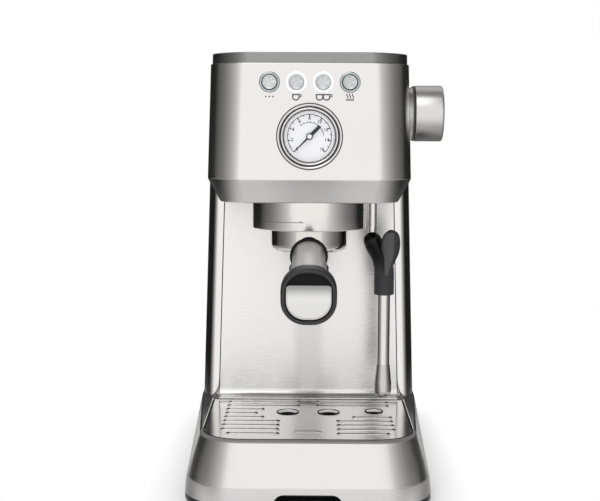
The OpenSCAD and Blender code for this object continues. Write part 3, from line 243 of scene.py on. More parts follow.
@dataclass(frozen=True)
class Finish:
    """One surface finish: a Principled shader with the grain that the real surface has.

    A fade is painted reflection and shade: it changes the brightness along an axis, where the real
    steel would mirror darker or lighter parts of the room. It gives the axis's name, the places
    where the change starts and ends, in millimetres, and the factor at its end. Along X it counts
    from the middle.
    """

    name: str
    color: tuple[float, float, float]
    metallic: float
    roughness: float
    grain: Grain = Grain.MOULDED
    stretch: Point3 = (1.0, 1.0, 1.0)
    centre: Point3 = (0.0, 0.0, 0.0)
    bump: float = 0.05
    tone: float = 0.06
    rough_spread: float = 0.08
    coat: float = 0.0
    alpha: float = 1.0
    emission: float = 0.0
    anisotropy: float = 0.0
    tangent: Point3 = (0.0, 0.0, 1.0)
    specular: float = 0.5
    fade: tuple[str, float, float, float] | None = None

    def build(self) -> bpy.types.Material:
        """Makes the material, or returns it if it was made before."""
        label = f"{self.name}_look"
        known = bpy.data.materials.get(label)
        if known is not None:
            return known
        material = bpy.data.materials.new(label)
        material.use_nodes = True
        net = Net(material.node_tree)
        shader = net.add("ShaderNodeBsdfPrincipled", {
            "Base Color": (*self.color, 1.0), "Metallic": self.metallic,
            "Roughness": self.roughness, "IOR": 1.5, "Alpha": self.alpha,
            "Specular IOR Level": self.specular, "Coat Weight": self.coat,
            "Coat Roughness": 0.05})
        if self.emission > 0.0:
            shader.inputs["Emission Color"].default_value = (*self.color, 1.0)
            shader.inputs["Emission Strength"].default_value = self.emission
        feeds = self._texture(net)
        if self.anisotropy > 0.0:
            along = net.add("ShaderNodeCombineXYZ", dict(enumerate(self.tangent)))
            feeds["Tangent"] = along.outputs[0]
            shader.inputs["Anisotropic"].default_value = self.anisotropy
        for key, socket in feeds.items():
            net.tree.links.new(socket, shader.inputs[key])
        net.add("ShaderNodeOutputMaterial", {"Surface": shader.outputs[0]})
        if self.alpha < 1.0:
            material.surface_render_method = "BLENDED"
        material.diffuse_color = (*self.color, self.alpha)
        return material

    def _texture(self, net: Net) -> dict[str, Socket]:
        """The grain's share in the colour, the roughness and the normal.

        Args:
            net: the material's net.

        Returns:
            Sockets by the name of the shader's input that they feed.
        """
        place = net.add("ShaderNodeTexCoord").outputs["Object"]
        position = net.add("ShaderNodeMapping", {
            "Vector": place, "Location": tuple(-c * MM for c in self.centre)}).outputs[0]
        if self.grain in SPECKLE_SIZES:
            group = net.add("ShaderNodeGroup", {
                "Position": position, "Size": SPECKLE_SIZES[self.grain]},
                node_tree=SurfaceGroups.speckle())
        else:
            lines = position if self.grain is Grain.BRUSHED else self._around(net, position)
            stretched = net.add("ShaderNodeMapping", {"Vector": lines, "Scale": self.stretch})
            group = net.add("ShaderNodeGroup", {
                "Position": position, "Stretched": stretched.outputs[0]},
                node_tree=SurfaceGroups.streaks())
        height, tone = group.outputs["Height"], group.outputs["Tone"]
        colour = net.colours(1.0, (*self.color, 1.0),
                             net.share(tone, 0.25, 0.75, 1.0 - self.tone, 1.0), "MULTIPLY")
        # painted reflection and shade along one axis
        if self.fade is not None:
            colour = self._painted_fade(net, place, colour)
        spread = self.rough_spread / 2
        rough = net.share(tone, 0.3, 0.7, max(0.0, self.roughness - spread),
                          min(1.0, self.roughness + spread))
        feeds = {"Base Color": colour, "Roughness": rough}
        if self.bump > 0.0:
            feeds["Normal"] = net.add("ShaderNodeBump", {
                "Strength": self.bump, "Distance": 0.05 * MM, "Height": height}).outputs[0]
        return feeds

    def _painted_fade(self, net: Net, position: Socket, colour: Socket) -> Socket:
        """Paints reflection and shade: fades the colour along one axis, as the room's dark parts
        would in a real mirror.

        Args:
            net: the material's net.
            position: position on the machine.
            colour: the colour that is faded.

        Returns:
            The faded colour.
        """
        axis, start, end, factor = self.fade
        place = net.add("ShaderNodeSeparateXYZ", {0: position}).outputs[axis]
        if axis == "X":
            place = net.calc("ABSOLUTE", place)
        first, last = (1.0, factor) if start < end else (factor, 1.0)
        along = net.share(place, min(start, end) * MM, max(start, end) * MM, first, last,
                          interpolation_type="SMOOTHSTEP")
        return net.colours(1.0, colour, along, "MULTIPLY")

    def _around(self, net: Net, position: Socket) -> Socket:
        """Coordinates round the Y axis: the direction, or for a turned face the radius.

        Args:
            net: the material's net.
            position: position from the finish's centre.

        Returns:
            The vector.
        """
        flat = net.vector("MULTIPLY", position, (1.0, 0.0, 1.0))
        if self.grain is Grain.RADIAL:
            return net.vector("NORMALIZE", flat)
        return net.add("ShaderNodeCombineXYZ", {"X": net.vector("LENGTH", flat)}).outputs[0]


SHEET_LINES = (25.0, 25.0, 2600.0)
TUBE_LINES = (30.0, 30.0, 2400.0)

SATIN = Finish(
    "satin_steel", (0.80, 0.785, 0.77), 1.0, 0.22, Grain.BRUSHED, stretch=SHEET_LINES, bump=0.10,
    tone=0.07, anisotropy=0.75)
# painted reflection: the skirt's colour darkens towards its sides, along X
SKIRT = Finish(
    "satin_steel_skirt", (0.78, 0.765, 0.75), 1.0, 0.24, Grain.BRUSHED, stretch=SHEET_LINES,
    bump=0.10, anisotropy=0.7, fade=("X", 79.5, 87.0, 0.32))
# painted shade: the leaning lower band is a darker copy of the skirt's steel, darker still towards
# its sides
SKIRT_BAND_SHADE = Finish(
    "satin_steel_band_painted_dark", (0.66, 0.65, 0.64), 1.0, 0.26, Grain.BRUSHED, stretch=SHEET_LINES,
    bump=0.08, fade=("X", 74.0, 90.0, 0.30))
# painted reflection: the chamfer darkens almost to black towards its sides
CHAMFER = Finish(
    "satin_steel_chamfer", (0.76, 0.745, 0.735), 1.0, 0.36, Grain.BRUSHED, stretch=SHEET_LINES,
    bump=0.08, fade=("X", 50.0, 69.0, 0.04))
COLUMN = Finish(
    "satin_steel_column", (0.80, 0.785, 0.77), 1.0, 0.10, Grain.BRUSHED, stretch=SHEET_LINES,
    bump=0.03, tone=0.07, rough_spread=0.04)
# painted shade: a dark copy of the chamfer's steel for its faces that turn to the sides
CHAMFER_SIDE_SHADE = Finish(
    "satin_steel_chamfer_painted_dark", (0.30, 0.295, 0.29), 1.0, 0.34, Grain.BRUSHED, stretch=SHEET_LINES,
    bump=0.08)
# painted shade: the splash panel is darker in its middle, below the portafilter, and lighter
# towards its sides
BRUSHED = Finish(
    "brushed_steel", (0.71, 0.70, 0.69), 1.0, 0.27, Grain.BRUSHED, stretch=(18.0, 18.0, 1500.0),
    bump=0.012, tone=0.05, rough_spread=0.05, anisotropy=0.7, fade=("X", 7.0, 16.0, 1.17))
# painted shade: the drip plate is darker in its middle, below the portafilter
PLATE = Finish(
    "plate_steel", (0.66, 0.645, 0.625), 1.0, 0.16, Grain.BRUSHED, stretch=(20.0, 1800.0, 20.0),
    bump=0.02, rough_spread=0.06, anisotropy=0.5, tangent=(0.0, 1.0, 0.0),
    fade=("X", 7.0, 20.0, 1.15))
CUP_PLATE = Finish(
    "cup_plate_steel", (0.74, 0.73, 0.715), 0.85, 0.46, Grain.BRUSHED,
    stretch=(25.0, 2600.0, 25.0), bump=0.06, rough_spread=0.05)
POLISHED = Finish(
    "polished_steel", (0.74, 0.72, 0.69), 1.0, 0.09, Grain.BRUSHED, stretch=TUBE_LINES, bump=0.02,
    tone=0.05, rough_spread=0.05)
CHROME = Finish(
    "chromed_metal", (0.70, 0.68, 0.65), 1.0, 0.07, bump=0.0, tone=0.04, rough_spread=0.04)
# painted reflection: the neck darkens towards its sides
NECK = Finish(
    "satin_neck", (0.74, 0.71, 0.68), 0.45, 0.34, Grain.BRUSHED, stretch=(900.0, 30.0, 900.0),
    bump=0.03, fade=("X", 7.0, 11.8, 0.22))
# painted shade: the knob is darker below its axis
KNOB_STEEL = Finish(
    "turned_knob_steel", (0.68, 0.67, 0.65), 1.0, 0.30, Grain.BRUSHED,
    stretch=(1500.0, 30.0, 30.0), bump=0.02, tone=0.04, rough_spread=0.04,
    fade=("Z", 286.0, 269.0, 0.22))
BAND = Finish(
    "dark_satin_band", (0.33, 0.33, 0.325), 1.0, 0.32, Grain.BRUSHED, stretch=(20.0, 20.0, 2600.0),
    bump=0.10, tone=0.10)
TIP_STEEL = Finish(
    "tip_steel", (0.58, 0.555, 0.53), 1.0, 0.15, Grain.BRUSHED, stretch=TUBE_LINES, tone=0.07)
ZINC = Finish("zinc_plated_sheet", (0.55, 0.56, 0.58), 1.0, 0.38, Grain.CAST, tone=0.15)
SCREW = Finish("screw_zinc", (0.55, 0.55, 0.56), 1.0, 0.3, Grain.CAST, tone=0.1)
ALLOY = Finish("cast_alloy", (0.58, 0.58, 0.59), 1.0, 0.42, Grain.CAST, bump=0.2, tone=0.1)
BRASS = Finish("machined_brass", (0.72, 0.55, 0.28), 1.0, 0.25, Grain.CAST, tone=0.08)
BLACK = Finish("black_moulding", (0.030, 0.030, 0.032), 0.0, 0.42, bump=0.25, tone=0.25)
GRIP = Finish("grip_rubber", (0.022, 0.022, 0.024), 0.0, 0.36, bump=0.3, tone=0.2)
# painted shade: the sleeve turns almost black towards its top
SLEEVE = Finish(
    "sleeve_plastic", (0.045, 0.045, 0.049), 0.0, 0.26, tone=0.2, specular=0.18,
    fade=("Z", 166.0, 181.0, 0.04))
# painted light and shade: the tab's front face is a lighter copy and its flank a darker copy of one
# plastic
TAB = Finish("tab_plastic", (0.085, 0.085, 0.088), 0.0, 0.42, bump=0.15, tone=0.15, specular=0.35)
TAB_FLANK_SHADE = Finish("tab_flank_painted_shade", (0.026, 0.026, 0.028), 0.0, 0.28, tone=0.15, specular=0.45)
SEAL_BLACK = Finish(
    "seal_black", (0.008, 0.008, 0.009), 0.0, 0.20, bump=0.02, tone=0.15, specular=0.20)
FACE_BLACK = Finish(
    "face_black", (0.010, 0.010, 0.011), 0.0, 0.30, bump=0.02, tone=0.1, specular=0.08)
# painted shade: the badge darkens towards its top
BADGE = Finish(
    "badge_metal", (0.84, 0.835, 0.825), 1.0, 0.20, Grain.BRUSHED, stretch=(1800.0, 30.0, 1800.0),
    bump=0.03, tone=0.05, fade=("Z", 163.0, 173.5, 0.34))
# painted shade: the dark lines at the bezel's outer edge, its groove and its inner wall
BEZEL_SHADE_LINE = Finish("bezel_painted_shade", (0.055, 0.055, 0.055), 0.6, 0.30, bump=0.0, tone=0.1)
BEZEL = Finish(
    "bezel_chrome", (0.80, 0.79, 0.775), 1.0, 0.10, Grain.TURNED, stretch=(2500.0, 1.0, 1.0),
    centre=(0.0, 0.0, 272.5), bump=0.03, tone=0.05)
RING_STEEL = Finish("ring_steel", (0.50, 0.53, 0.53), 1.0, 0.20, bump=0.0, tone=0.08)
LIT_RING = Finish("lit_ring", (0.90, 0.93, 0.94), 0.0, 0.30, bump=0.0, tone=0.04, emission=0.25)
SIGN_INK = Finish("sign_ink", (0.10, 0.11, 0.12), 0.0, 0.45, bump=0.0, tone=0.1)
ETCH = Finish("etched_line", (0.16, 0.155, 0.15), 0.3, 0.5, bump=0.0, tone=0.1)
FLANGE = Finish(
    "flange_steel", (0.72, 0.72, 0.71), 1.0, 0.25, Grain.BRUSHED, stretch=(2200.0, 30.0, 30.0))
DARK_RING = Finish("dark_ring", (0.055, 0.055, 0.057), 0.2, 0.40, tone=0.12)
# painted highlight: the plate's beads and ribs are a brighter copy of its steel
PLATE_BEAD_HIGHLIGHT = Finish("plate_bead_painted_highlight", (0.86, 0.85, 0.83), 1.0, 0.18, Grain.CAST, bump=0.02, tone=0.05)
# painted light: the inner walls of the drain holes glow a little
COLLAR_GLOW = Finish(
    "collar_wall_painted_glow", (0.72, 0.71, 0.69), 0.2, 0.40, Grain.CAST, bump=0.02, tone=0.05, emission=0.22)
# painted shadow: dark beads and discs put in gaps and slots where there is shade; also the black
# seals round the drain holes
SHADOW_AND_SEAL_BLACK = Finish(
    "shadow_and_seal_black", (0.010, 0.010, 0.010), 0.0, 0.6, bump=0.1, tone=0.2, specular=0.1)
GLOSS = Finish("gloss_black", (0.012, 0.012, 0.013), 0.0, 0.12, bump=0.02, tone=0.15, coat=0.4)
RUBBER = Finish("black_rubber", (0.020, 0.020, 0.020), 0.0, 0.7, bump=0.4, tone=0.3)
WHITE_PLASTIC = Finish("white_moulding", (0.78, 0.78, 0.75), 0.0, 0.4, bump=0.1)
HOSE = Finish("hose_silicone", (0.80, 0.80, 0.78), 0.0, 0.45, bump=0.1)
BOARD = Finish("lacquered_board", (0.02, 0.16, 0.07), 0.0, 0.3, Grain.CAST, tone=0.25)
SMOKED = Finish("smoked_tank", (0.30, 0.33, 0.35), 0.0, 0.1, bump=0.02, tone=0.05, alpha=0.5)
LENS = Finish(
    "gauge_lens", (0.2, 0.2, 0.2), 0.0, 0.03, bump=0.0, tone=0.0, rough_spread=0.0, alpha=0.03)
# painted light: the dial card glows a little, filling the shade of its bezel
DIAL_GLOW = Finish("dial_card_painted_glow", (0.70, 0.70, 0.72), 0.0, 0.5, bump=0.0, tone=0.02, emission=0.44)
INK = Finish("dark_ink", (0.012, 0.012, 0.013), 0.0, 0.45, bump=0.0, tone=0.1, specular=0.1)
NEEDLE = Finish(
    "needle_paint", (0.030, 0.032, 0.034), 0.0, 0.4, bump=0.0, tone=0.05, specular=0.15)
JOINT_BLACK = Finish(
    "joint_black", (0.004, 0.004, 0.0045), 0.0, 0.14, bump=0.0, tone=0.1, specular=0.25)
GROUP_STEEL = Finish(
    "group_steel", (0.78, 0.76, 0.73), 1.0, 0.16, Grain.BRUSHED, stretch=TUBE_LINES, bump=0.02,
    tone=0.05, rough_spread=0.05)
# painted shade: the flat deck is a darker copy of the skirt's steel, darker still towards the back
SKIRT_DECK_SHADE = Finish(
    "satin_steel_deck_painted_dark", (0.31, 0.305, 0.30), 0.7, 0.50, Grain.BRUSHED, stretch=SHEET_LINES,
    bump=0.03, rough_spread=0.06, fade=("Y", -95.0, -30.0, 0.28))


# ---- mesh tools


def arc(cx: float, cy: float, rx: float, ry: float, start: float, end: float,
        steps: int = 20) -> Loop2:
    """Points of an arc of an ellipse, in degrees from start to end.

    Args:
        cx: centre, first axis.
        cy: centre, second axis.
        rx: radius along the first axis.
        ry: radius along the second axis.
        start: first angle.
        end: last angle.
        steps: number of steps.

    Returns:
        The points, first to last.
    """
    angles = [math.radians(start + (end - start) * i / steps) for i in range(steps + 1)]
    return [(cx + rx * math.cos(a), cy + ry * math.sin(a)) for a in angles]


def polar(r: float, angle: float) -> Point2:
    """The point at a distance from the origin and an angle in degrees."""
    return arc(0.0, 0.0, r, r, 0.0, angle, 1)[1]


def mirrored(half: Loop2) -> Loop2:
    """A right half outline and its mirror image, as one closed outline."""
    return half + [(-x, y) for x, y in reversed(half)]


def flattened(points: Loop2, share: float) -> Loop2:
    """Draws a curve partly towards the straight line between its ends."""
    (x0, y0), (x1, y1) = points[0], points[-1]
    last = len(points) - 1
    return [(x + (x0 + (x1 - x0) * i / last - x) * share,
             y + (y0 + (y1 - y0) * i / last - y) * share) for i, (x, y) in enumerate(points)]


def plan(w: float, wb: float, front: float, flare: float, back: float, r: float,
         rb: float, flat: float = 0.0) -> Loop2:
    """Outline with round front and rear corners.

    Args:
        w: half width at the front.
        wb: half width at the back.
        front: reach to the front.
        flare: place along Y where the side reaches wb.
        back: reach to the back.
        r: radius of the front corners.
        rb: radius of the rear corners.
        flat: how far the front corners are drawn to a straight line, 0 to 1.

    Returns:
        The closed outline, seen from above.
    """
    half = flattened(arc(w - r, r - front, r, r, -90, 0), flat) + [(wb, flare)]
    half += arc(wb - rb, back - rb, rb, rb, 0, 90, 8)
    return mirrored(half)


def at_height(outline: Loop2, z: float) -> Ring3:
    """Lifts a plan outline to a height."""
    return [(x, y, z) for x, y in outline]


def mesh_from(name: str, points: Sequence[Point3], faces: Sequence[Sequence[int]]) -> Piece:
    """Makes an object at the origin from points in millimetres.

    Args:
        name: name of the piece.
        points: the vertices.
        faces: the faces.

    Returns:
        The new object.
    """
    mesh = bpy.data.meshes.new(name)
    mesh.from_pydata([(x * MM, y * MM, z * MM) for x, y, z in points], [], list(faces))
    mesh.validate()
    piece = bpy.data.objects.new(name, mesh)
    bpy.context.scene.collection.objects.link(piece)
    return piece


@contextmanager
def edited(piece: Piece) -> Iterator[bmesh.types.BMesh]:
    """Opens a piece's mesh for editing and writes it back.

    Args:
        piece: the piece.

    Yields:
        Its faces, to be changed in place.
    """
    work = bmesh.new()
    work.from_mesh(piece.data)
    yield work
    work.to_mesh(piece.data)
    work.free()


def drop(piece: Piece) -> None:
    """Removes a piece and its mesh."""
    data = piece.data
    bpy.data.objects.remove(piece)
    bpy.data.meshes.remove(data)


def shade(piece: Piece, angle: float) -> Piece:
    """Shades a piece smooth, but for the edges that are sharper than an angle in degrees."""
    piece.data.shade_smooth()
    piece.data.set_sharp_from_angle(angle=math.radians(angle))
    return piece


def tidy(piece: Piece, angle: float = 32.0, outwards: bool = True) -> Piece:
    """Merges doubles, turns the faces outwards and shades smooth up to an angle.

    Args:
        piece: the piece.
        angle: edges sharper than this stay sharp, in degrees.
        outwards: whether the normals are recalculated.

    Returns:
        The same piece.
    """
    with edited(piece) as work:
        bmesh.ops.remove_doubles(work, verts=work.verts, dist=MERGE * MM)
        bmesh.ops.dissolve_degenerate(work, dist=MERGE * MM * 0.5, edges=work.edges)
        if outwards:
            bmesh.ops.recalc_face_normals(work, faces=work.faces)
    return shade(piece, angle)


def face_out(piece: Piece, centre: Point3) -> Piece:
    """Turns an open sheet's faces away from a point.

    Args:
        piece: the sheet.
        centre: a point on its inner side.

    Returns:
        The same piece.
    """
    middle = Vector([c * MM for c in centre])
    outward = sum(f.normal.dot(f.center - middle) * f.area for f in piece.data.polygons)
    if outward < 0.0:
        piece.data.flip_normals()
    return piece


def loft(name: str, rings: Sequence[Ring3], closed: bool = False, caps: bool = False,
         open_rings: bool = False, split: int = -1) -> Piece:
    """Skins rings that have the same number of points.

    Args:
        name: name of the piece.
        rings: the rings in order.
        closed: whether the last ring joins the first.
        caps: whether the first and last rings are filled.
        open_rings: whether each ring is an open line.
        split: place in each ring where no face is made.

    Returns:
        The new object.
    """
    count = len(rings[0])
    points = [p for ring in rings for p in ring]
    faces: list[list[int]] = []
    last = len(rings) if closed else len(rings) - 1
    span = count - 1 if open_rings else count
    for i in range(last):
        a, b = i * count, ((i + 1) % len(rings)) * count
        for j in range(span):
            if j == split:
                continue
            k = (j + 1) % count
            faces.append([a + j, a + k, b + k, b + j])
    if caps:
        faces.append(list(range(count))[::-1])
        base = (len(rings) - 1) * count
        faces.append([base + j for j in range(count)])
    return mesh_from(name, points, faces)


def lathe(name: str, profile: Sequence[Point2], place: Placer,
          steps: int = 96, closed: bool = False) -> Piece:
    """Turns a profile of (radius, distance) pairs round an axis.

    Args:
        name: name of the piece.
        profile: pairs of radius and distance along the axis.
        place: turns local x, y and distance into a place on the machine.
        steps: number of steps round the axis.
        closed: whether the profile is a closed line.

    Returns:
        The new object.
    """
    turns = [2 * math.pi * i / steps for i in range(steps)]
    return loft(name, [[place(r * math.cos(t), r * math.sin(t), along) for t in turns]
                       for r, along in profile], closed=closed)


def turned(name: str, profile: Sequence[Point2], place: Placer, steps: int = 96,
           closed: bool = False) -> Piece:
    """A lathed piece with its normals, sharp where its profile turns a corner."""
    return tidy(lathe(name, profile, place, steps, closed), 35.0)


def modified(piece: Piece, kind: str, **settings: object) -> Piece:
    """Adds a modifier with its settings to a piece."""
    step = piece.modifiers.new(kind.lower(), kind)
    for name, setting in settings.items():
        setattr(step, name, setting)
    return piece


def cut(piece: Piece, *cutters: Piece) -> None:
    """Cuts pieces out of a piece and removes the cutters.

    Args:
        piece: the piece that is cut.
        cutters: closed meshes.
    """
    for cutter in cutters:
        bake(modified(piece, "BOOLEAN", operation="DIFFERENCE", solver="EXACT", object=cutter))
        drop(cutter)


def bake(piece: Piece) -> Piece:
    """Turns a piece and its modifiers into a plain mesh.

    Args:
        piece: the piece.

    Returns:
        The same piece, with no modifier left.
    """
    graph = bpy.context.evaluated_depsgraph_get()
    graph.update()
    made = bpy.data.meshes.new_from_object(piece.evaluated_get(graph))
    old = piece.data
    piece.modifiers.clear()
    piece.data = made
    if isinstance(old, bpy.types.Mesh) and old.users == 0:
        bpy.data.meshes.remove(old)
    return piece


def joined(pieces: Sequence[Piece]) -> Piece:
    """Joins pieces into the first one.

    Args:
        pieces: plain meshes at the origin.

    Returns:
        The first piece, which holds all the faces.
    """
    with edited(pieces[0]) as work:
        for piece in pieces[1:]:
            work.from_mesh(piece.data)
    for piece in pieces[1:]:
        drop(piece)
    return pieces[0]


def thicken(piece: Piece, wall: float, offset: float = -1.0, even: bool = True) -> Piece:
    """Gives a sheet its thickness, inwards by default, and bakes it.

    Args:
        piece: the sheet.
        wall: its thickness.
        offset: -1 for inwards, 1 for outwards.
        even: whether the thickness is kept across sharp folds.

    Returns:
        The same piece.
    """
    bake(modified(piece, "SOLIDIFY", thickness=wall * MM, offset=offset, use_even_offset=even))
    with edited(piece) as work:
        bmesh.ops.recalc_face_normals(work, faces=work.faces)
    return piece


def bulge(piece: Piece, twist: float = 0.02) -> Piece:
    """Splits each twisted four-sided face along the diagonal that lies further outwards.

    Args:
        piece: the piece, with its faces turned outwards.
        twist: distance of the diagonals, in millimetres, from which a face is split.

    Returns:
        The same piece.
    """
    with edited(piece) as work:
        for face in [f for f in work.faces if len(f.verts) == 4]:
            a, b, c, d = face.verts
            lift = ((a.co + c.co) - (b.co + d.co)).dot(face.normal) / 2.0
            if abs(lift) > twist * MM:
                bmesh.utils.face_split(face, *((a, c) if lift > 0 else (b, d)))
    return piece


def soften(piece: Piece, width: float, angle: float = 35.0) -> Piece:
    """Rounds the sharp edges of a piece a little and bakes it."""
    return bake(modified(piece, "BEVEL", width=width * MM, segments=2, limit_method="ANGLE",
                         angle_limit=math.radians(angle)))


def even_normals(piece: Piece, angle: float = 32.0) -> Piece:
    """Weights the shading by face area, so that flat faces stay flat."""
    return modified(shade(piece, angle), "WEIGHTED_NORMAL", keep_sharp=True, weight=50)


def sheet_shading(piece: Piece, angle: float = 40.0) -> Piece:
    """Cleans a baked sheet, with its faces as they point, and weights its shading."""
    return even_normals(tidy(piece, angle, outwards=False), angle)


def keep_side(piece: Piece, y: float, side: int) -> None:
    """Cuts a piece along an upright plane across the machine and drops one side.

    Args:
        piece: the piece.
        y: place of the plane.
        side: 1 drops what lies behind it, -1 what lies in front.
    """
    with edited(piece) as work:
        geometry = list(work.verts) + list(work.edges) + list(work.faces)
        bmesh.ops.bisect_plane(work, geom=geometry, dist=1e-7, plane_co=(0, y * MM, 0),
                               plane_no=(0, side, 0), clear_outer=True)


def dress(piece: Piece, body: str, finish: Finish,
          replaces: Sequence[str] = ()) -> None:
    """Gives a piece its material and lets it ride on a body.

    Args:
        piece: the piece.
        body: CAD body that carries it.
        finish: its finish.
        replaces: CAD nodes that it stands for.
    """
    if not piece.data.materials:
        piece.data.materials.append(finish.build())
    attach(piece, body)
    if replaces:
        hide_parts(*replaces)
    LOG.info("piece %s on %s, %d faces", piece.name, body, len(piece.data.polygons))


def paint(piece: Piece, base: Finish, *extras: tuple[Finish, Picker]) -> None:
    """Gives a piece its finish, and further ones to the faces that their tests pick.

    Args:
        piece: the piece, at the origin.
        base: finish of the piece.
        extras: finishes, each with a test of a face's centre in millimetres and its normal.
    """
    piece.data.materials.clear()
    for finish in (base, *(extra for extra, _ in extras)):
        piece.data.materials.append(finish.build())
    for face in piece.data.polygons:
        at = face.center / MM
        picked = [i for i, (_, test) in enumerate(extras, 1) if test(at, face.normal)]
        face.material_index = picked[-1] if picked else 0


# ---- studio


@dataclass
class Studio:
    """Camera, floor, world and lamp.

    The camera's place and the floor are in millimetres; shadow_box, shadow_fade, mirror_floor and
    the lamp's places and sizes are in metres. The dip and ceiling pairs are parts of a direction.
    """

    camera_at: Point3 = (0.0, -999.86, 278.62)
    tilt: float = 5.83
    yaw: float = 0.43
    roll: float = 0.24
    lens: float = 72.0
    floor_half: float = 6000.0
    room_strength: float = 0.95
    mirror_strength: float = 1.12
    dip: Point2 = (-0.18, -0.32)
    ceiling: float = 0.55
    ceiling_up: Point2 = (0.32, 0.62)
    ceiling_back: Point2 = (-0.10, -0.35)
    mirror_floor: Point2 = (0.20, 0.32)
    shadow_box: Point3 = (0.090, 0.150, 0.0)
    shadow_fade: float = 0.035
    floor_tone: float = 0.95
    lamp_at: Point3 = (-0.5, -1.1, 1.9)
    lamp_aim: Point3 = (0.0, 0.0, 0.15)
    lamp_size: Point2 = (1.6, 1.2)
    lamp_power: float = 9.0
    level_stops: tuple[Point2, ...] = (
        (0, 1.0), (24, 1.0), (37, 0.95), (41, 0.70), (52, 0.50), (66, 0.32), (81, 0.19),
        (99, 0.11), (110, 0.05), (114, 0.012), (164, 0.012), (168, 0.30), (180, 0.30))
    below_stops: tuple[Point2, ...] = (
        (0, 1.0), (20, 0.99), (28, 0.92), (40, 0.75), (52, 0.60), (66, 0.45), (81, 0.36),
        (110, 0.33), (180, 0.45))

    def camera(self) -> None:
        """Sets the camera in front of the machine."""
        data = bpy.data.cameras.new("camera")
        data.lens = self.lens
        data.sensor_width = 36.0
        data.clip_start = 0.01
        data.clip_end = 50.0
        camera = bpy.data.objects.new("camera", data)
        bpy.context.scene.collection.objects.link(camera)
        turn = (Matrix.Rotation(math.radians(self.yaw), 4, "Z")
                @ Matrix.Rotation(math.radians(90.0 - self.tilt), 4, "X")
                @ Matrix.Rotation(math.radians(self.roll), 4, "Z"))
        camera.matrix_world = Matrix.Translation([c * MM for c in self.camera_at]) @ turn
        bpy.context.scene.camera = camera

    def world(self) -> None:
        """A pale room: white where the camera looks, graded where the steel mirrors it.

        The mirrored brightness follows the angle from the room's bright front. It has a second
        grading below the horizon, and the ceiling behind the machine is lighter.
        """
        world = bpy.data.worlds.new("studio")
        bpy.context.scene.world = world
        world.use_nodes = True
        net = Net(world.node_tree)
        way = net.add("ShaderNodeTexCoord").outputs["Generated"]
        parts = net.add("ShaderNodeSeparateXYZ", {0: way}).outputs
        ahead = net.calc("MULTIPLY", parts["Y"], -1.0)
        angle = net.calc("DIVIDE", net.calc("ARCCOSINE", ahead), math.pi)
        graded = net.colours(net.share(parts["Z"], *self.dip),
                             self._ramp(net, angle, self.level_stops),
                             self._ramp(net, angle, self.below_stops))
        overhead = net.calc("MULTIPLY", net.share(parts["Z"], *self.ceiling_up),
                            net.share(ahead, *self.ceiling_back))
        graded = net.colours(overhead, graded, (*[self.ceiling] * 3, 1.0))
        room, seen, mirrored_room = (
            net.add("ShaderNodeBackground", {"Color": colour, "Strength": strength})
            for colour, strength in ((WHITE, self.room_strength), (WHITE, 1.0),
                                     (graded, self.mirror_strength)))
        rays = net.add("ShaderNodeLightPath").outputs
        plain = net.calc("MAXIMUM", rays["Is Camera Ray"], rays["Is Transmission Ray"])
        light = net.shaders(rays["Is Glossy Ray"], net.shaders(plain, room, seen), mirrored_room)
        net.add("ShaderNodeOutputWorld", {"Surface": light.outputs[0]})

    @staticmethod
    def _ramp(net: Net, share: Socket, stops: Sequence[Point2]) -> Socket:
        """A brightness that depends on the angle from the room's bright front.

        Args:
            net: the world's net.
            share: the angle as a share of half a turn.
            stops: pairs of an angle in degrees and a brightness.

        Returns:
            The brightness.
        """
        ramp = net.add("ShaderNodeValToRGB", {"Fac": share})
        elements = ramp.color_ramp.elements
        elements[0].position, elements[1].position = 0.0, 1.0
        for angle, _ in stops[1:-1]:
            elements.new(angle / 180.0)
        for element, (_, value) in zip(elements, stops):
            element.color = (value, value, value, 1.0)
        return ramp.outputs["Color"]

    def floor(self) -> None:
        """A wide pale floor with the machine's shadow.

        Far from the machine it is clear to mirrors, and the camera sees it as plain white.
        """
        h = self.floor_half
        floor = mesh_from("floor", [(-h, -h, 0), (h, -h, 0), (h, h, 0), (-h, h, 0)],
                          [[0, 1, 2, 3]])
        material = bpy.data.materials.new("pale_floor")
        material.use_nodes = True
        net = Net(material.node_tree)
        pale = net.add("ShaderNodeBsdfDiffuse", {"Color": (*[self.floor_tone] * 3, 1.0)})
        clear = net.add("ShaderNodeBsdfTransparent")
        white = net.add("ShaderNodeEmission", {"Color": WHITE, "Strength": 1.0})
        rays = net.add("ShaderNodeLightPath").outputs
        place = net.add("ShaderNodeTexCoord").outputs["Object"]
        far = net.share(net.vector("LENGTH", place), *self.mirror_floor)
        mirrored_floor = net.shaders(net.calc("MULTIPLY", rays["Is Glossy Ray"], far), pale, clear)
        beyond = net.vector("SUBTRACT", net.vector("ABSOLUTE", place), self.shadow_box)
        beyond = net.vector("MAXIMUM", beyond, (0.0, 0.0, 0.0))
        fade = net.share(net.vector("LENGTH", beyond), 0.0, self.shadow_fade)
        seen = net.calc("MULTIPLY", rays["Is Camera Ray"], fade)
        surface = net.shaders(seen, mirrored_floor, white)
        net.add("ShaderNodeOutputMaterial", {"Surface": surface.outputs[0]})
        floor.data.materials.append(material)

    def lamps(self) -> None:
        """One wide soft lamp above and in front."""
        data = bpy.data.lights.new("soft_lamp", "AREA")
        data.shape = "RECTANGLE"
        data.size, data.size_y = self.lamp_size
        data.energy = self.lamp_power
        lamp = bpy.data.objects.new("soft_lamp", data)
        bpy.context.scene.collection.objects.link(lamp)
        place = Vector(self.lamp_at)
        aim = Vector(self.lamp_aim) - place
        lamp.rotation_mode = "QUATERNION"
        lamp.rotation_quaternion = aim.to_track_quat("-Z", "Y")
        lamp.location = place

    def build(self) -> None:
        """Sets up the whole studio."""
        bpy.context.scene.view_settings.view_transform = "Standard"
        self.camera()
        self.world()
        self.floor()
        self.lamps()


# ---- housing


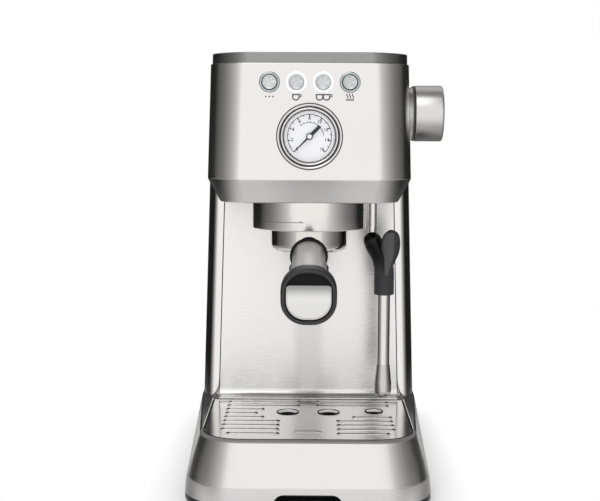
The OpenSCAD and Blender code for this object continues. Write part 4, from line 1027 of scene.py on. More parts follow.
@dataclass
class Housing:
    """Base, column and head: the steel skins and what lies between them.

    corner_turns says how far the column's front corner has turned, in degrees, at each share of
    its width.
    """

    skirt_low: float = 6.0
    crease_z: float = 18.6
    base_top: float = 51.4
    head_low: float = 223.6
    head_crease: float = 240.9
    body_top: float = 325.4
    overall_h: float = 333.1
    base_w: float = 183.8
    base_front: float = 153.1
    base_back: float = 149.5
    base_corner_r: float = 42.0
    base_rear_r: float = 14.0
    band_lean: float = 1.2
    skirt_lean: float = 8.9
    rim_w: float = 163.0
    rim_back_w: float = 182.4
    rim_flare: float = 20.0
    sheet: float = 1.2
    tray_seam: float = 108.5
    seam: float = 0.12
    notch_w: float = 51.0
    notch_h: float = 8.0
    notch_r: float = 8.0
    rim_roll: float = 1.6
    bay_w: float = 158.8
    bay_front: float = 139.0
    bay_back: float = 8.3
    plate_r: float = 30.0
    column_w: float = 181.8
    column_top_w: float = 165.6
    column_d: float = 88.0
    corner_w: float = 15.2
    corner_d: float = 34.0
    corner_turns: tuple[Point2, ...] = (
        (0.0, 0.0), (0.30, 14.0), (0.36, 20.0), (0.43, 31.0), (0.485, 46.0), (0.545, 56.0),
        (0.62, 62.0), (0.80, 78.0), (1.0, 87.5))
    cove_r: float = 6.5
    head_w: float = 151.8
    head_top_w: float = 146.8
    head_reach: float = 128.4
    head_r: float = 26.0
    head_flat: float = 0.3
    head_lean: float = 2.0
    chamfer_w: float = 9.3
    band_inset: float = 1.0
    ledge_w: float = 4.0
    band_rim: float = 3.6
    gap: float = 0.3
    button_z: float = 311.5
    button_pitch: float = 19.4
    ring_r: float = 7.6
    gauge_z: float = 272.5
    gauge_r: float = 24.2
    knob_z: float = 290.0
    knob_y: float = 69.0
    stem_r: float = 3.0

    def half_w(self, z: float) -> float:
        """Half width of the column at a height."""
        share = (z - self.base_top) / (self.body_top - self.base_top)
        return (self.column_w + (self.column_top_w - self.column_w) * share) / 2

    def panel_at(self, z: float) -> float:
        """Place along Y of the leaning front panel at a height."""
        share = (z - self.head_crease) / (self.body_top - self.head_crease)
        return self.head_lean * share - self.head_reach

    def base_plan(self, level: float, inset: float) -> Loop2:
        """Outline of the base: 0 at its bottom edge, 1 at the fold and 2 at the rim.

        Args:
            level: 0 to 2, with the places between them in proportion.
            inset: distance inside the outline.

        Returns:
            The closed outline.
        """
        if level <= 1.0:
            more = self.band_lean * (1.0 - level)
            w = self.base_w / 2 + more - inset
            return plan(w, w, self.base_front + more - inset, 0.0,
                        self.base_back + 0.5 * (1.0 - level) - inset,
                        self.base_corner_r + more - inset, self.base_rear_r - inset)
        t = level - 1.0
        return plan(self.base_w / 2 + (self.rim_w - self.base_w) / 2 * t - inset,
                    self.base_w / 2 + (self.rim_back_w - self.base_w) / 2 * t - inset,
                    self.base_front - self.skirt_lean * t - inset, self.rim_flare * t,
                    self.base_back - 2.0 * t - inset,
                    self.base_corner_r - self.skirt_lean * t - inset, self.base_rear_r - inset)

    def bay_plan(self, inset: float) -> Loop2:
        """Outline of the bay in the base, and of what fills it."""
        return plan(self.bay_w / 2 - inset, self.bay_w / 2 - inset, self.bay_front - inset,
                    -self.bay_back - inset - 2.0, -self.bay_back - inset,
                    self.plate_r - inset, 1.0)

    def head_plan(self, level: float, inset: float) -> Loop2:
        """Outline of the head: 0 at its lower edge, 1 at the fold and 2 at the top.

        Args:
            level: 0 to 2, with the places between them in proportion.
            inset: distance inside the outline.

        Returns:
            The closed outline.
        """
        back = self.corner_d + 1.0
        if level <= 1.0:
            t = level
            w0, w1 = self.head_w / 2 - self.chamfer_w, self.head_w / 2
            b0, b1 = self.half_w(self.head_low) - self.chamfer_w, self.half_w(self.head_crease)
            return plan(w0 + (w1 - w0) * t - inset, b0 + (b1 - b0) * t - inset,
                        self.head_reach - self.chamfer_w * (1.0 - t) - inset, self.corner_d, back,
                        self.head_r - 6.0 * (1.0 - t) - inset * t, 1.0, self.head_flat)
        t = level - 1.0
        w1, w2 = self.head_w / 2, self.head_top_w / 2
        b1, b2 = self.half_w(self.head_crease), self.half_w(self.body_top)
        return plan(w1 + (w2 - w1) * t - inset, b1 + (b2 - b1) * t - inset,
                    self.head_reach - self.head_lean * t - inset, self.corner_d, back,
                    self.head_r - inset, 1.0, self.head_flat)

    def band_plan(self, inset: float) -> Loop2:
        """Outline of the top band."""
        e = self.band_inset + inset
        return plan(self.head_top_w / 2 - e, self.half_w(self.body_top) - e,
                    self.head_reach - self.head_lean - e, self.corner_d, self.column_d - inset,
                    self.head_r + 2.0 - inset, 3.0, self.head_flat)

    def column_plan(self, z: float, inset: float) -> Loop2:
        """Outline of the column with its long front corners.

        Args:
            z: height.
            inset: distance inside the outline.

        Returns:
            The closed outline.
        """
        w = self.half_w(z)
        line = self.corner_line(w)
        half = []
        for i, (x, y) in enumerate(line):
            before, after = line[max(i - 1, 0)], line[min(i + 1, len(line) - 1)]
            along = Vector((after[0] - before[0], after[1] - before[1])).normalized()
            half.append((x - along.y * inset, y + along.x * inset))
        return mirrored(half + [(w - inset, self.corner_d + 1.0)])

    def corner_line(self, w: float) -> Loop2:
        """The column's front corner: nearly flat in front, then a quick turn to the side.

        Args:
            w: half width of the column.

        Returns:
            The points from the panel's edge to the side.
        """
        stops, steps, x, y = self.corner_turns, 60, 0.0, 0.0
        raw: Loop2 = [(0.0, 0.0)]
        for i in range(steps):
            u = (i + 0.5) / steps
            for (u0, a0), (u1, a1) in zip(stops, stops[1:]):
                if u0 <= u <= u1:
                    turn = math.radians(a0 + (a1 - a0) * (u - u0) / (u1 - u0))
            x += self.corner_w / steps
            y += math.tan(turn) * self.corner_w / steps
            raw.append((x, y))
        mid = next(p[1] for p in raw if p[0] >= 0.6 * self.corner_w)
        grow = (self.corner_d - mid) / (raw[-1][1] - mid)
        return [(w - self.corner_w + px, py if py <= mid else mid + (py - mid) * grow)
                for px, py in raw]

    def skirt(self, name: str) -> Piece:
        """The folded skirt with its softly rolled rim.

        Args:
            name: name of the piece.

        Returns:
            The skirt as an open sheet.
        """
        roll = self.rim_roll
        top_level = 2.0 - roll / (self.base_top - self.crease_z)
        rings = [at_height(self.base_plan(level, inset), z) for level, inset, z in (
            (0.0, 0.0, self.skirt_low), (0.93, 0.0, self.crease_z - 0.9),
            (1.0, 0.12, self.crease_z), (1.03, 0.0, self.crease_z + 1.0),
            (top_level, 0.0, self.base_top - roll))]
        rings += [at_height(self.base_plan(2.0, inset), self.base_top - down)
                  for inset, down in arc(roll, roll, -roll, -roll, 0, 90, 5)[1:]]
        rings += [at_height(self.bay_plan(inset), self.base_top - down) for inset, down in (
            (-0.8, 0.0), (-0.25, 0.25), (0.0, 0.9), (0.0, 2.4))]
        return bulge(face_out(tidy(loft(name, rings), 60.0), (0, 0, 30)))

    def _skirt_part(self, name: str, *planes: tuple[float, int]) -> Piece:
        """A part of the skirt between planes across the machine, with its thickness.

        Args:
            name: name of the piece.
            planes: place along Y of each plane, and the direction of the side that goes.

        Returns:
            The part.
        """
        part = self.skirt(name)
        for y, side in planes:
            keep_side(part, y, side)
        return thicken(part, self.sheet * 0.8, even=False)

    def _skirt_looks(self, part: Piece, body: str, node: str, deck: Picker) -> None:
        """Dresses a part of the skirt.

        Args:
            part: the part.
            body: CAD body that carries it.
            node: CAD node that it stands for.
            deck: picks the faces of the flat deck, which are painted darker.
        """
        sheet_shading(part)
        # painted shade: the lower band and the flat deck take darker copies of the skirt's steel
        paint(part, SKIRT, (SKIRT_BAND_SHADE, lambda at, way: at.z < self.crease_z),
              (SKIRT_DECK_SHADE, deck))
        dress(part, body, SKIRT, [node])

    def base_pieces(self) -> None:
        """The tray's front and the fixed sides of the base."""
        half_seam, top, r = self.seam / 2, self.base_top, self.notch_r
        front = self._skirt_part("tray_front_skin", (-self.tray_seam - half_seam, 1))
        half, high = self.notch_w / 2, self.skirt_low + self.notch_h
        outline = ([(half + 1.5, 0.0)] + arc(half - r, high - r, r, r, 10, 90, 10)
                   + arc(r - half, high - r, r, r, 90, 170, 10) + [(-half - 1.5, 0.0)])
        cutter = loft("notch", [[(x, -self.bay_front - far, z) for x, z in outline]
                                for far in (0.0, 30.0)], caps=True)
        cut(front, tidy(cutter))
        self._skirt_looks(front, "tray", "tray_front", lambda at, way: at.z > top - 1.45)
        sides = self._skirt_part("base_side_skins", (-self.tray_seam + half_seam, -1),
                                 (self.base_back - 15.0 - self.gap / 2, 1))
        self._skirt_looks(sides, "machine", "base_skirt",
                          lambda at, way: at.z > top - 0.5 and way.z > 0.9)
        high = self.skirt_low - 0.15
        band = [at_height(self.base_plan(0.0, inset), z) for inset, z in (
            (0.5, 1.2), (0.05, 1.7), (0.05, high), (5.5, high), (5.5, 1.2))]
        dress(tidy(loft("plinth_band", band, closed=True), 40.0), "machine", FACE_BLACK)
        # painted highlight: a bright bead along the bay's edge
        rim = at_height(self.bay_plan(-0.85), self.base_top + 0.05)
        edge = beads("bay_edge_bead", [rim], 0.75, PLATE_BEAD_HIGHLIGHT)
        keep_side(edge, -self.tray_seam + self.gap / 2, -1)
        keep_side(edge, -self.bay_back, 1)
        dress(edge, "machine", PLATE_BEAD_HIGHLIGHT, ["base_skirt"])
        # painted shadow: a dark bead along the plate's edge
        line = at_height(self.bay_plan(0.55), self.base_top - 0.45)
        edge_shadow = beads("plate_edge_gasket", [line], 0.62, SHADOW_AND_SEAL_BLACK, 8)
        keep_side(edge_shadow, -self.bay_back - 1.5, 1)
        dress(edge_shadow, "grid", SHADOW_AND_SEAL_BLACK)

    def column_pieces(self) -> None:
        """The column's skin and the splash panel with the cove at its foot."""
        low = [self._open_column(z, True) for z in (self.base_top, self.head_crease)]
        high = [self._open_column(z, False) for z in (self.head_crease, self.body_top - 0.02)]
        lower = loft("column_skin", low, open_rings=True, split=len(low[0]) // 2 - 1)
        upper = loft("column_upper", high, open_rings=True, split=len(high[0]) // 2 - 1)
        for skin in (lower, upper):
            thicken(face_out(tidy(skin, 60.0), (0, 60, 190)), self.sheet)
        skin = joined([lower, upper])
        sheet_shading(skin)
        dress(skin, "machine", COLUMN, ["body_shell"])
        dress(self._deck(), "machine", SATIN, ["body_shell"])
        # painted shadow: dark beads along the seams beside the splash panel
        start = self.base_top + 8.0
        heights = [start + (self.head_low - start) * i / 12 for i in range(13)]
        seams = [[(side * (self.half_w(z) - self.corner_w - 0.1), 0.22, z) for z in heights]
                 for side in (-1, 1)]
        dress(beads("panel_seams", seams, 0.42, SHADOW_AND_SEAL_BLACK, 8, closed=False), "machine",
              SHADOW_AND_SEAL_BLACK)
        dress(self._splash(), "machine", BRUSHED, ["splash_panel"])

    def _open_column(self, z: float, corners: bool) -> Ring3:
        """The column's outline as a line that leaves out the splash panel and the back.

        Args:
            z: height.
            corners: whether the round front corners are part of it.

        Returns:
            The line from the left rear, round the front corners, to the right rear.
        """
        w = self.half_w(z)
        right: Loop2 = []
        if corners:
            right = [(w - self.corner_w, 3.0), (w - self.corner_w, 1.0)]
            right += self.corner_line(w)
        right += [(w, self.corner_d + 1.0), (w, self.column_d)]
        left = [(-x, y) for x, y in reversed(right)]
        return at_height(left, z) + at_height(right, z)

    def _deck(self) -> Piece:
        """The flat top of the column under the band."""
        inner = self.ledge_w + self.band_rim
        rings = [at_height(self.band_plan(inset), self.body_top - down) for inset, down in (
            (inner, 1.2), (inner, 0.02), (0.0, 0.02), (0.0, 1.2))]
        return even_normals(tidy(loft("top_deck", rings, closed=True)), 40.0)

    def _splash(self) -> Piece:
        """The splash panel: a flat sheet that turns forward in a cove."""
        foot_z, r = self.base_top + self.sheet * 0.5, self.cove_r
        low = self.base_top + self.sheet + r
        line = [(self.gap, z) for z in (self.head_low - self.gap, low + 40.0, low + 1.0)]
        line += arc(self.gap - r, low, r, r, 0, -90, 14)
        line.append((self.gap - r - 1.2, foot_z + 0.6))
        rings = []
        for y, z in line:
            w = self.half_w(max(z, low)) - self.corner_w - self.gap
            rings.append([(w * t, y, z) for t in (-1.0, -0.5, 0.0, 0.5, 1.0)])
        panel = tidy(loft("splash_skin", rings, open_rings=True), 60.0)
        thicken(panel, self.sheet, 1.0)
        return even_normals(soften(tidy(panel, 40.0, outwards=False), 0.35), 40.0)

    def head_pieces(self) -> None:
        """The head's skin with the holes for its controls, and the top band."""
        low, fold, top = self.head_low, self.head_crease, self.body_top
        rings = [at_height(self.head_plan(level, inset), z) for level, inset, z in (
            (0.0, 0.5, low), (0.02, 0.15, low + 0.3), (0.05, 0.0, low + 0.9),
            (0.94, 0.0, fold - 1.0), (1.0, 0.22, fold), (1.012, 0.0, fold + 1.0),
            (1.99, 0.0, top - 0.7), (2.0, 0.2, top - 0.15), (2.0, 0.6, top - TINY),
            (2.0, 6.0, top - TINY))]
        skin = tidy(loft("head_skin", rings), 60.0)
        face_out(skin, (0, -60, 280))
        keep_side(skin, self.corner_d - self.gap / 2, 1)
        thicken(skin, self.sheet)
        column = loft("column_block", [
            at_height(self.column_plan(self.base_top, -self.gap), self.base_top),
            at_height(self.column_plan(fold, -self.gap), fold + self.gap)], caps=True)
        cut(skin, tidy(column))
        start = -self.head_reach - 6.0
        cutters = [self._drill(self.gauge_r - 1.6, 20,
                               lambda x, y, s: (x, start + s, self.gauge_z + y), 64)]
        for i in range(4):
            at = (i - 1.5) * self.button_pitch
            cutters.append(self._drill(
                self.ring_r - 0.9, 20,
                lambda x, y, s, at=at: (at + x, start + s, self.button_z + y)))
        cutters.append(self._drill(
            self.stem_r + 3.7, 60, lambda x, y, s: (50.0 + s, y - self.knob_y, self.knob_z + x)))
        cut(skin, *cutters)
        sheet_shading(skin, 32.0)
        # painted reflection and shade: the chamfer below the fold darkens to its sides, and a dark
        # copy covers its faces that turn to the sides
        paint(skin, SATIN, (CHAMFER, lambda at, way: at.z < fold - 0.5),
              (CHAMFER_SIDE_SHADE, lambda at, way: at.z < fold - 0.5 and at.y > -100.0))
        dress(skin, "machine", SATIN, ["head_shell"])
        self._band()

    @staticmethod
    def _drill(r: float, length: float, place: Placer, steps: int = 48) -> Piece:
        """A round cutter.

        Args:
            r: its radius.
            length: its length.
            place: turns local x, y and distance into a place on the machine.
            steps: number of steps round it.

        Returns:
            The closed cutter.
        """
        return tidy(lathe("hole", [(0, 0), (r, 0), (r, length), (0, length)], place, steps))

    def _band(self) -> None:
        """The dark band round the top, with its rolled edge and the ledge inside."""
        z0, z1 = self.body_top, self.overall_h
        profile = [(0.35, z0), (0.1, z0 + 0.15), (0.0, z0 + 0.5), (0.15, z1 - 1.2)]
        profile += [arc(1.0, z1 - 0.95, -0.85, 0.95, 0, a, 1)[1] for a in (15, 35, 55, 75, 90)]
        profile += [(self.band_rim - 0.4, z1), (self.band_rim, z1 - 0.3), (self.band_rim, z1 - 4.0),
                    (self.band_rim + self.ledge_w, z1 - 4.0), (self.band_rim + self.ledge_w, z0)]
        band = loft("top_band", [at_height(self.band_plan(i), z) for i, z in profile], closed=True)
        even_normals(tidy(band, 50.0), 50.0)
        dress(band, "machine", BAND, ["top_frame"])

    def build(self) -> None:
        """Builds the housing."""
        self.base_pieces()
        self.column_pieces()
        self.head_pieces()


# ---- repeated things


class Repeats:
    """Geometry node groups for things that come many times."""

    @staticmethod
    def _start(name: str, inputs: dict[str, str]) -> tuple[Net, Sockets]:
        """Starts a group on a Geometry, with a Finish for the result."""
        return node_group(name, "GeometryNodeTree",
                          {"Geometry": "Geometry", **inputs, "Finish": "Material"},
                          [("Geometry", "Geometry")])

    @staticmethod
    def _end(net: Net, given: Sockets, last: Node) -> Tree:
        """Gives the result of the last node its material and ends the group."""
        paint = net.add("GeometryNodeSetMaterial", {"Geometry": last.outputs[0],
                                                    "Material": given["Finish"]})
        net.add("NodeGroupOutput", {"Geometry": paint.outputs[0]})
        return net.tree

    @classmethod
    @cache
    def items(cls) -> Tree:
        """Sets one item on each point, turned round the Y axis in equal steps."""
        net, given = cls._start("repeat_item", {
            "Item": "Object", "First Turn": "Float", "Turn Step": "Float"})
        item = net.add("GeometryNodeObjectInfo", {"Object": given["Item"]},
                       transform_space="RELATIVE")
        index = net.add("GeometryNodeInputIndex").outputs[0]
        turn = net.calc("MULTIPLY_ADD", index, given["Turn Step"], given["First Turn"])
        euler = net.add("ShaderNodeCombineXYZ", {"Y": turn}).outputs[0]
        rotation = net.add("FunctionNodeEulerToRotation", {0: euler}).outputs[0]
        place = net.add("GeometryNodeInstanceOnPoints", {
            "Points": given["Geometry"], "Instance": item.outputs["Geometry"],
            "Rotation": rotation})
        return cls._end(net, given, net.add("GeometryNodeRealizeInstances",
                                            {0: place.outputs[0]}))

    @classmethod
    @cache
    def beads(cls) -> Tree:
        """Turns every line of edges into a round bead."""
        net, given = cls._start("bead_lines", {"Bead Radius": "Float", "Sides": "Int"})
        line = net.add("GeometryNodeMeshToCurve", {0: given["Geometry"]}).outputs[0]
        section = net.add("GeometryNodeCurvePrimitiveCircle", {
            "Radius": given["Bead Radius"], "Resolution": given["Sides"]}).outputs[0]
        return cls._end(net, given, net.add("GeometryNodeCurveToMesh", {
            "Curve": line, "Profile Curve": section}))

    @staticmethod
    def run(piece: Piece, tree: Tree, values: dict[str, object],
            angle: float = 40.0) -> Piece:
        """Runs a group on a piece and keeps the result as a plain mesh.

        Args:
            piece: the points or edges.
            tree: the group.
            values: its inputs by name.
            angle: edges sharper than this stay sharp, in degrees.

        Returns:
            The same piece.
        """
        step = piece.modifiers.new("repeat", "NODES")
        step.node_group = tree
        for socket in tree.interface.items_tree:
            if socket.in_out == "INPUT" and socket.name in values:
                step[socket.identifier] = values[socket.name]
        bake(piece)
        return tidy(piece, angle)


def copies(name: str, item: Piece, points: Sequence[Point3], finish: Finish,
           first: float = 0.0, step: float = 0.0) -> Piece:
    """One piece made of the same item on several points.

    Args:
        name: name of the piece.
        item: the item at the origin; it is removed.
        points: where the copies go, in millimetres.
        finish: finish of all the copies.
        first: turn of the first copy round the Y axis, in degrees.
        step: further turn from one copy to the next, in degrees.

    Returns:
        The piece.
    """
    piece = mesh_from(name, points, [])
    Repeats.run(piece, Repeats.items(), {
        "Item": item, "First Turn": math.radians(first), "Turn Step": math.radians(step),
        "Finish": finish.build()})
    drop(item)
    return piece


def beads(name: str, lines: Sequence[Sequence[Point3]], radius: float, finish: Finish,
          sides: int = 10, closed: bool = True) -> Piece:
    """Round beads along lines.

    Args:
        name: name of the piece.
        lines: lines in millimetres.
        radius: radius of the beads.
        finish: finish of the beads.
        sides: number of sides of the section.
        closed: whether the last point of a line joins the first.

    Returns:
        The piece.
    """
    mesh = bpy.data.meshes.new(name)
    points: list[Point3] = []
    edges: list[tuple[int, int]] = []
    for line in lines:
        start = len(points)
        points += [(x * MM, y * MM, z * MM) for x, y, z in line]
        edges += [(start + i, start + (i + 1) % len(line))
                  for i in range(len(line) if closed else len(line) - 1)]
    mesh.from_pydata(points, edges, [])
    piece = bpy.data.objects.new(name, mesh)
    bpy.context.scene.collection.objects.link(piece)
    return Repeats.run(piece, Repeats.beads(), {
        "Bead Radius": radius * MM, "Sides": sides, "Finish": finish.build()}, 60.0)


def ribbon(line: Loop2, width: float, closed: bool = False) -> list[list[Point2]]:
    """The four-sided faces of a stroke along a line in a plane.

    Args:
        line: points of the line.
        width: width of the stroke.
        closed: whether the last point joins the first.

    Returns:
        The faces, each a list of points.
    """
    count = len(line)
    left, right = [], []
    for i, (x, y) in enumerate(line):
        before = line[(i - 1) % count] if closed or i > 0 else line[i]
        after = line[(i + 1) % count] if closed or i < count - 1 else line[i]
        first = Vector((x - before[0], y - before[1]))
        second = Vector((after[0] - x, after[1] - y))
        first = first.normalized() if first.length > 1e-6 else second.normalized()
        second = second.normalized() if second.length > 1e-6 else first
        along = (first + second).normalized()
        grow = 1.0 / max(0.5, along.dot(second))
        side = Vector((-along.y, along.x)) * (width / 2 * grow)
        left.append((x + side.x, y + side.y))
        right.append((x - side.x, y - side.y))
    span = count if closed else count - 1
    return [[left[i], right[i], right[(i + 1) % count], left[(i + 1) % count]]
            for i in range(span)]


def printed(name: str, faces: Sequence[Sequence[Point2]],
            place: Callable[[float, float], Point3]) -> Piece:
    """Thin printed marks that lie on a surface.

    Args:
        name: name of the piece.
        faces: flat faces.
        place: turns a point of a face into a place on the machine.

    Returns:
        The piece.
    """
    points: list[Point3] = []
    loops: list[list[int]] = []
    for face in faces:
        loops.append([len(points) + i for i in range(len(face))])
        points += [place(x, y) for x, y in face]
    return mesh_from(name, points, loops)


def digits(name: str, text: str, size: float, at: Point2,
           place: Callable[[float, float], Point3]) -> Piece:
    """A plain number, centred on a point of a surface.

    Args:
        name: name of the piece.
        text: the number.
        size: height of the type.
        at: the centre.
        place: turns a point into a place on the machine.

    Returns:
        The piece.
    """
    curve = bpy.data.curves.new(name, "FONT")
    curve.body = text
    curve.size = size
    curve.align_x = "CENTER"
    curve.align_y = "CENTER"
    curve.resolution_u = 3
    curve.offset = size * 0.02
    source = bpy.data.objects.new(name + "_source", curve)
    bpy.context.scene.collection.objects.link(source)
    graph = bpy.context.evaluated_depsgraph_get()
    graph.update()
    mesh = bpy.data.meshes.new_from_object(source.evaluated_get(graph))
    for vertex in mesh.vertices:
        x, y, z = place(at[0] + vertex.co.x, at[1] + vertex.co.y)
        vertex.co = (x * MM, y * MM, z * MM)
    bpy.data.objects.remove(source)
    bpy.data.curves.remove(curve)
    piece = bpy.data.objects.new(name, mesh)
    bpy.context.scene.collection.objects.link(piece)
    return piece


# ---- controls


@dataclass
class Gauge:
    """The pressure gauge: double bezel, dial card with its marks."""

    housing: Housing
    back: float = 2.4
    depth: float = 22.0
    dial_r: float = 18.6
    card_at: float = 6.0
    first_angle: float = 225.0
    step_angle: float = 33.75
    outer_r: float = 16.0
    inner_r: float = 10.1
    number_r: float = 12.9
    number_size: float = 3.3
    mark_lift: float = 0.04
    hub_at: float = 3.55

    def front(self) -> float:
        """Place along Y of the front of the bezel."""
        low = self.housing.gauge_z - self.housing.gauge_r
        return self.housing.panel_at(low) - self.back - TINY

    def place(self, a: float, b: float, s: float) -> Point3:
        """A place from the gauge's centre: right, up and inwards."""
        return (a, self.front() + s, self.housing.gauge_z + b)

    def bezel(self) -> None:
        """Case and bezel with its two beads."""
        r, d = self.housing.gauge_r, self.dial_r
        end = self.depth + self.back
        profile = [(0.0, end + 6.0), (5.0, end + 6.0), (5.0, end), (r - 2.0, end),
                   (r - 2.0, self.back), (r - 0.3, self.back), (r, self.back - 0.3)]
        profile += arc(r - 1.25, 1.25, 1.25, -1.25, 0, 180, 12)
        profile += [(r - 2.62, 1.75), (r - 2.9, 1.95), (r - 3.1, 1.75)]
        profile += arc(r - 4.0, 1.55, 0.85, -0.85, 0, 180, 9)
        profile += [(d + 0.42, 2.3), (d + 0.1, 2.9), (d, 3.3), (d, self.card_at + 0.95),
                    (0.0, self.card_at + 0.95)]
        case = turned("gauge_bezel", profile, self.place, 128)

        def in_shade_line(at: Vector, _: Vector) -> bool:
            """Whether a face lies in one of the bezel's painted shade lines."""
            off = math.hypot(at.x, at.z - self.housing.gauge_z)
            return off > r - 0.85 or r - 3.05 < off < r - 2.4 or off < d + 0.75

        paint(case, BEZEL, (BEZEL_SHADE_LINE, in_shade_line))
        dress(case, "machine", BEZEL, ["gauge_case"])

    def card(self) -> None:
        """The marks on the dial card."""
        def place(a: float, b: float) -> Point3:
            """A place on the card."""
            return self.place(a, b, self.card_at - self.mark_lift)

        last = self.first_angle - 8 * self.step_angle
        faces = ribbon(arc(0, 0, self.outer_r, self.outer_r, self.first_angle, last, 72), 0.45)
        faces += ribbon(arc(0, 0, self.inner_r, self.inner_r, 131, 2, 40), 0.38)
        for half in range(17):
            angle = self.first_angle - half * self.step_angle / 2
            long, wide = (1.9, 0.75) if half % 2 == 0 else (1.1, 0.5)
            faces += ribbon([polar(self.outer_r - long, angle), polar(self.outer_r, angle)], wide)
        for step in range(9):
            angle = 128 - step * 14
            faces += ribbon([polar(self.inner_r, angle), polar(self.inner_r + 0.9, angle)], 0.45)
        marks = [printed("dial_marks", faces, place)]
        for step in range(9):
            at = polar(self.number_r, self.first_angle - step * self.step_angle)
            marks.append(digits(f"dial_number_{step}", str(2 * step), self.number_size, at, place))
        card = joined(marks)
        card.data.materials.clear()
        dress(card, "machine", INK)

    def hub(self) -> None:
        """The white boss with its dark ring on the needle."""
        base = self.hub_at
        ring = turned("needle_hub", [(0.0, base), (1.7, base), (2.5, base + 0.1),
                                     (2.5, base + 0.3), (0.0, base + 0.3)], self.place, 48)
        dress(ring, "needle", NEEDLE)
        slant = math.radians(self.first_angle)
        ends = ((2.0, 0.72), (15.4, 0.26))
        tail = [[self.place(r * math.cos(slant) - side * w * math.sin(slant),
                            r * math.sin(slant) + side * w * math.cos(slant), base + deep)
                 for side, deep in ((-1, 0.12), (1, 0.12), (1, 0.42), (-1, 0.42))]
                for r, w in ends]
        dress(tidy(loft("needle_tail", tail, caps=True), 35.0), "needle", NEEDLE)
        cap = turned("needle_cap", [(0.0, base - 0.5), (1.0, base - 0.45), (1.65, base - 0.1),
                                    (1.65, base + 0.05), (0.0, base + 0.05)], self.place, 48)
        # the white cap glows a little like the dial: painted light
        dress(cap, "needle", DIAL_GLOW)

    def build(self) -> None:
        """Builds the gauge."""
        self.bezel()
        self.card()
        self.hub()


@dataclass
class Buttons:
    """Four push buttons with their rings, and the small signs under them."""

    housing: Housing
    button_r: float = 5.2
    ring_out: float = 0.9
    cap_out: float = 1.9
    travel: float = 1.5
    board_depth: float = 14.0
    sign_z: float = 300.9
    stroke: float = 1.0

    def columns(self) -> list[float]:
        """Places of the buttons from left to right."""
        return [(i - 1.5) * self.housing.button_pitch for i in range(4)]

    def front(self) -> float:
        """Place along Y of the panel behind the rings."""
        return self.housing.panel_at(self.housing.button_z - self.housing.ring_r) - TINY

    def rings(self) -> None:
        """Two plain rings and two lit ones."""
        r, bore, out = self.housing.ring_r, self.button_r + 0.3, self.ring_out
        mid, half = (r + bore) / 2, (r - bore) / 2
        profile = [(bore, 8.0 + out)]
        profile += arc(mid, out, -half, -out, 0, 180, 12)
        profile += [(r - 1.1, out + 0.05), (r - 1.1, 8.0 + out)]
        spots = [(x, self.front() - out, self.housing.button_z) for x in self.columns()]
        for name, pair, finish in (("plain_rings", (0, 3), RING_STEEL),
                                   ("lit_rings", (1, 2), LIT_RING)):
            item = tidy(lathe("ring_item", profile, lambda a, b, s: (a, s, -b), 64, closed=True),
                        40.0)
            piece = copies(name, item, [spots[i] for i in pair], finish)
            dress(piece, "machine", finish, ["button_rings"])

    def caps(self) -> None:
        """The dished caps, each on its own body."""
        names = ("program", "single_cup", "double_cup", "steam")
        r = self.button_r
        stem = self.board_depth - 1.6 - self.travel - 0.3 + self.cap_out
        profile = [(0.0, 0.55), (1.6, 0.52), (3.2, 0.38), (4.2, 0.2), (4.5, 0.05), (4.75, 0.0),
                   (5.05, 0.12), (r, 0.4), (r, 6.8), (2.0, 6.8), (2.0, stem), (0.0, stem)]
        # painted sheen: each cap gets its own brightness, and strong radial tone sectors stand in
        # for the turned steel's highlights
        for x, name, tone in zip(self.columns(), names, (0.0, 0.06, 0.03, 0.1)):
            finish = Finish(f"cap_steel_{name}", (0.95 - tone, 0.97 - tone, 0.98 - tone), 1.0,
                            0.24, Grain.RADIAL, stretch=(1.5, 1.5, 1.5),
                            centre=(x, 0.0, self.housing.button_z), bump=0.0, tone=0.65,
                            rough_spread=0.1)
            cap = turned(f"{name}_cap", profile, lambda a, b, s, x=x: (
                x + a, self.front() - self.cap_out + s, self.housing.button_z - b), 64)
            dress(cap, f"{name}_key", finish, [f"{name}_button"])

    def signs(self) -> None:
        """Plain signs: three dots, one cup, two cups and steam over a line."""
        def place(a: float, b: float) -> Point3:
            """A place on the panel."""
            z = self.sign_z + b
            return (a, self.housing.panel_at(z) - 0.05, z)

        xs = self.columns()
        faces: list[list[Point2]] = []
        for step in (-2.6, 0.0, 2.6):
            faces.append(arc(xs[0] + step, 0.2, 0.62, 0.62, 0, 337.5, 15))
        faces += self._cup(xs[1] - 0.3, True)
        faces += self._cup(xs[2] - 2.6, False) + self._cup(xs[2] + 2.4, True)
        faces += ribbon([(xs[3] - 3.0, -2.0), (xs[3] + 3.0, -2.0)], self.stroke)
        for step in (-2.0, 0.0, 2.0):
            wave = [(xs[3] + step + 0.42 * math.sin(i * math.pi / 5), -0.9 + 0.34 * i)
                    for i in range(11)]
            faces += ribbon(wave, self.stroke * 0.8)
        dress(printed("button_signs", faces, place), "machine", SIGN_INK)

    def _cup(self, x: float, handle: bool) -> list[list[Point2]]:
        """Strokes of a small cup.

        Args:
            x: its centre.
            handle: whether it has its handle on the right.

        Returns:
            The faces of the strokes.
        """
        bowl = [(x - 2.4, 1.7), (x - 2.3, 0.2)] + arc(x, -0.2, 2.3, 2.0, 190, 350, 8)
        bowl += [(x + 2.3, 0.2), (x + 2.4, 1.7)]
        faces = ribbon(bowl, self.stroke, closed=True)
        if handle:
            faces += ribbon(arc(x + 2.5, 0.9, 1.5, 1.0, 85, -80, 8), self.stroke * 0.8)
        return faces

    def build(self) -> None:
        """Builds the row of buttons."""
        self.rings()
        self.caps()
        self.signs()


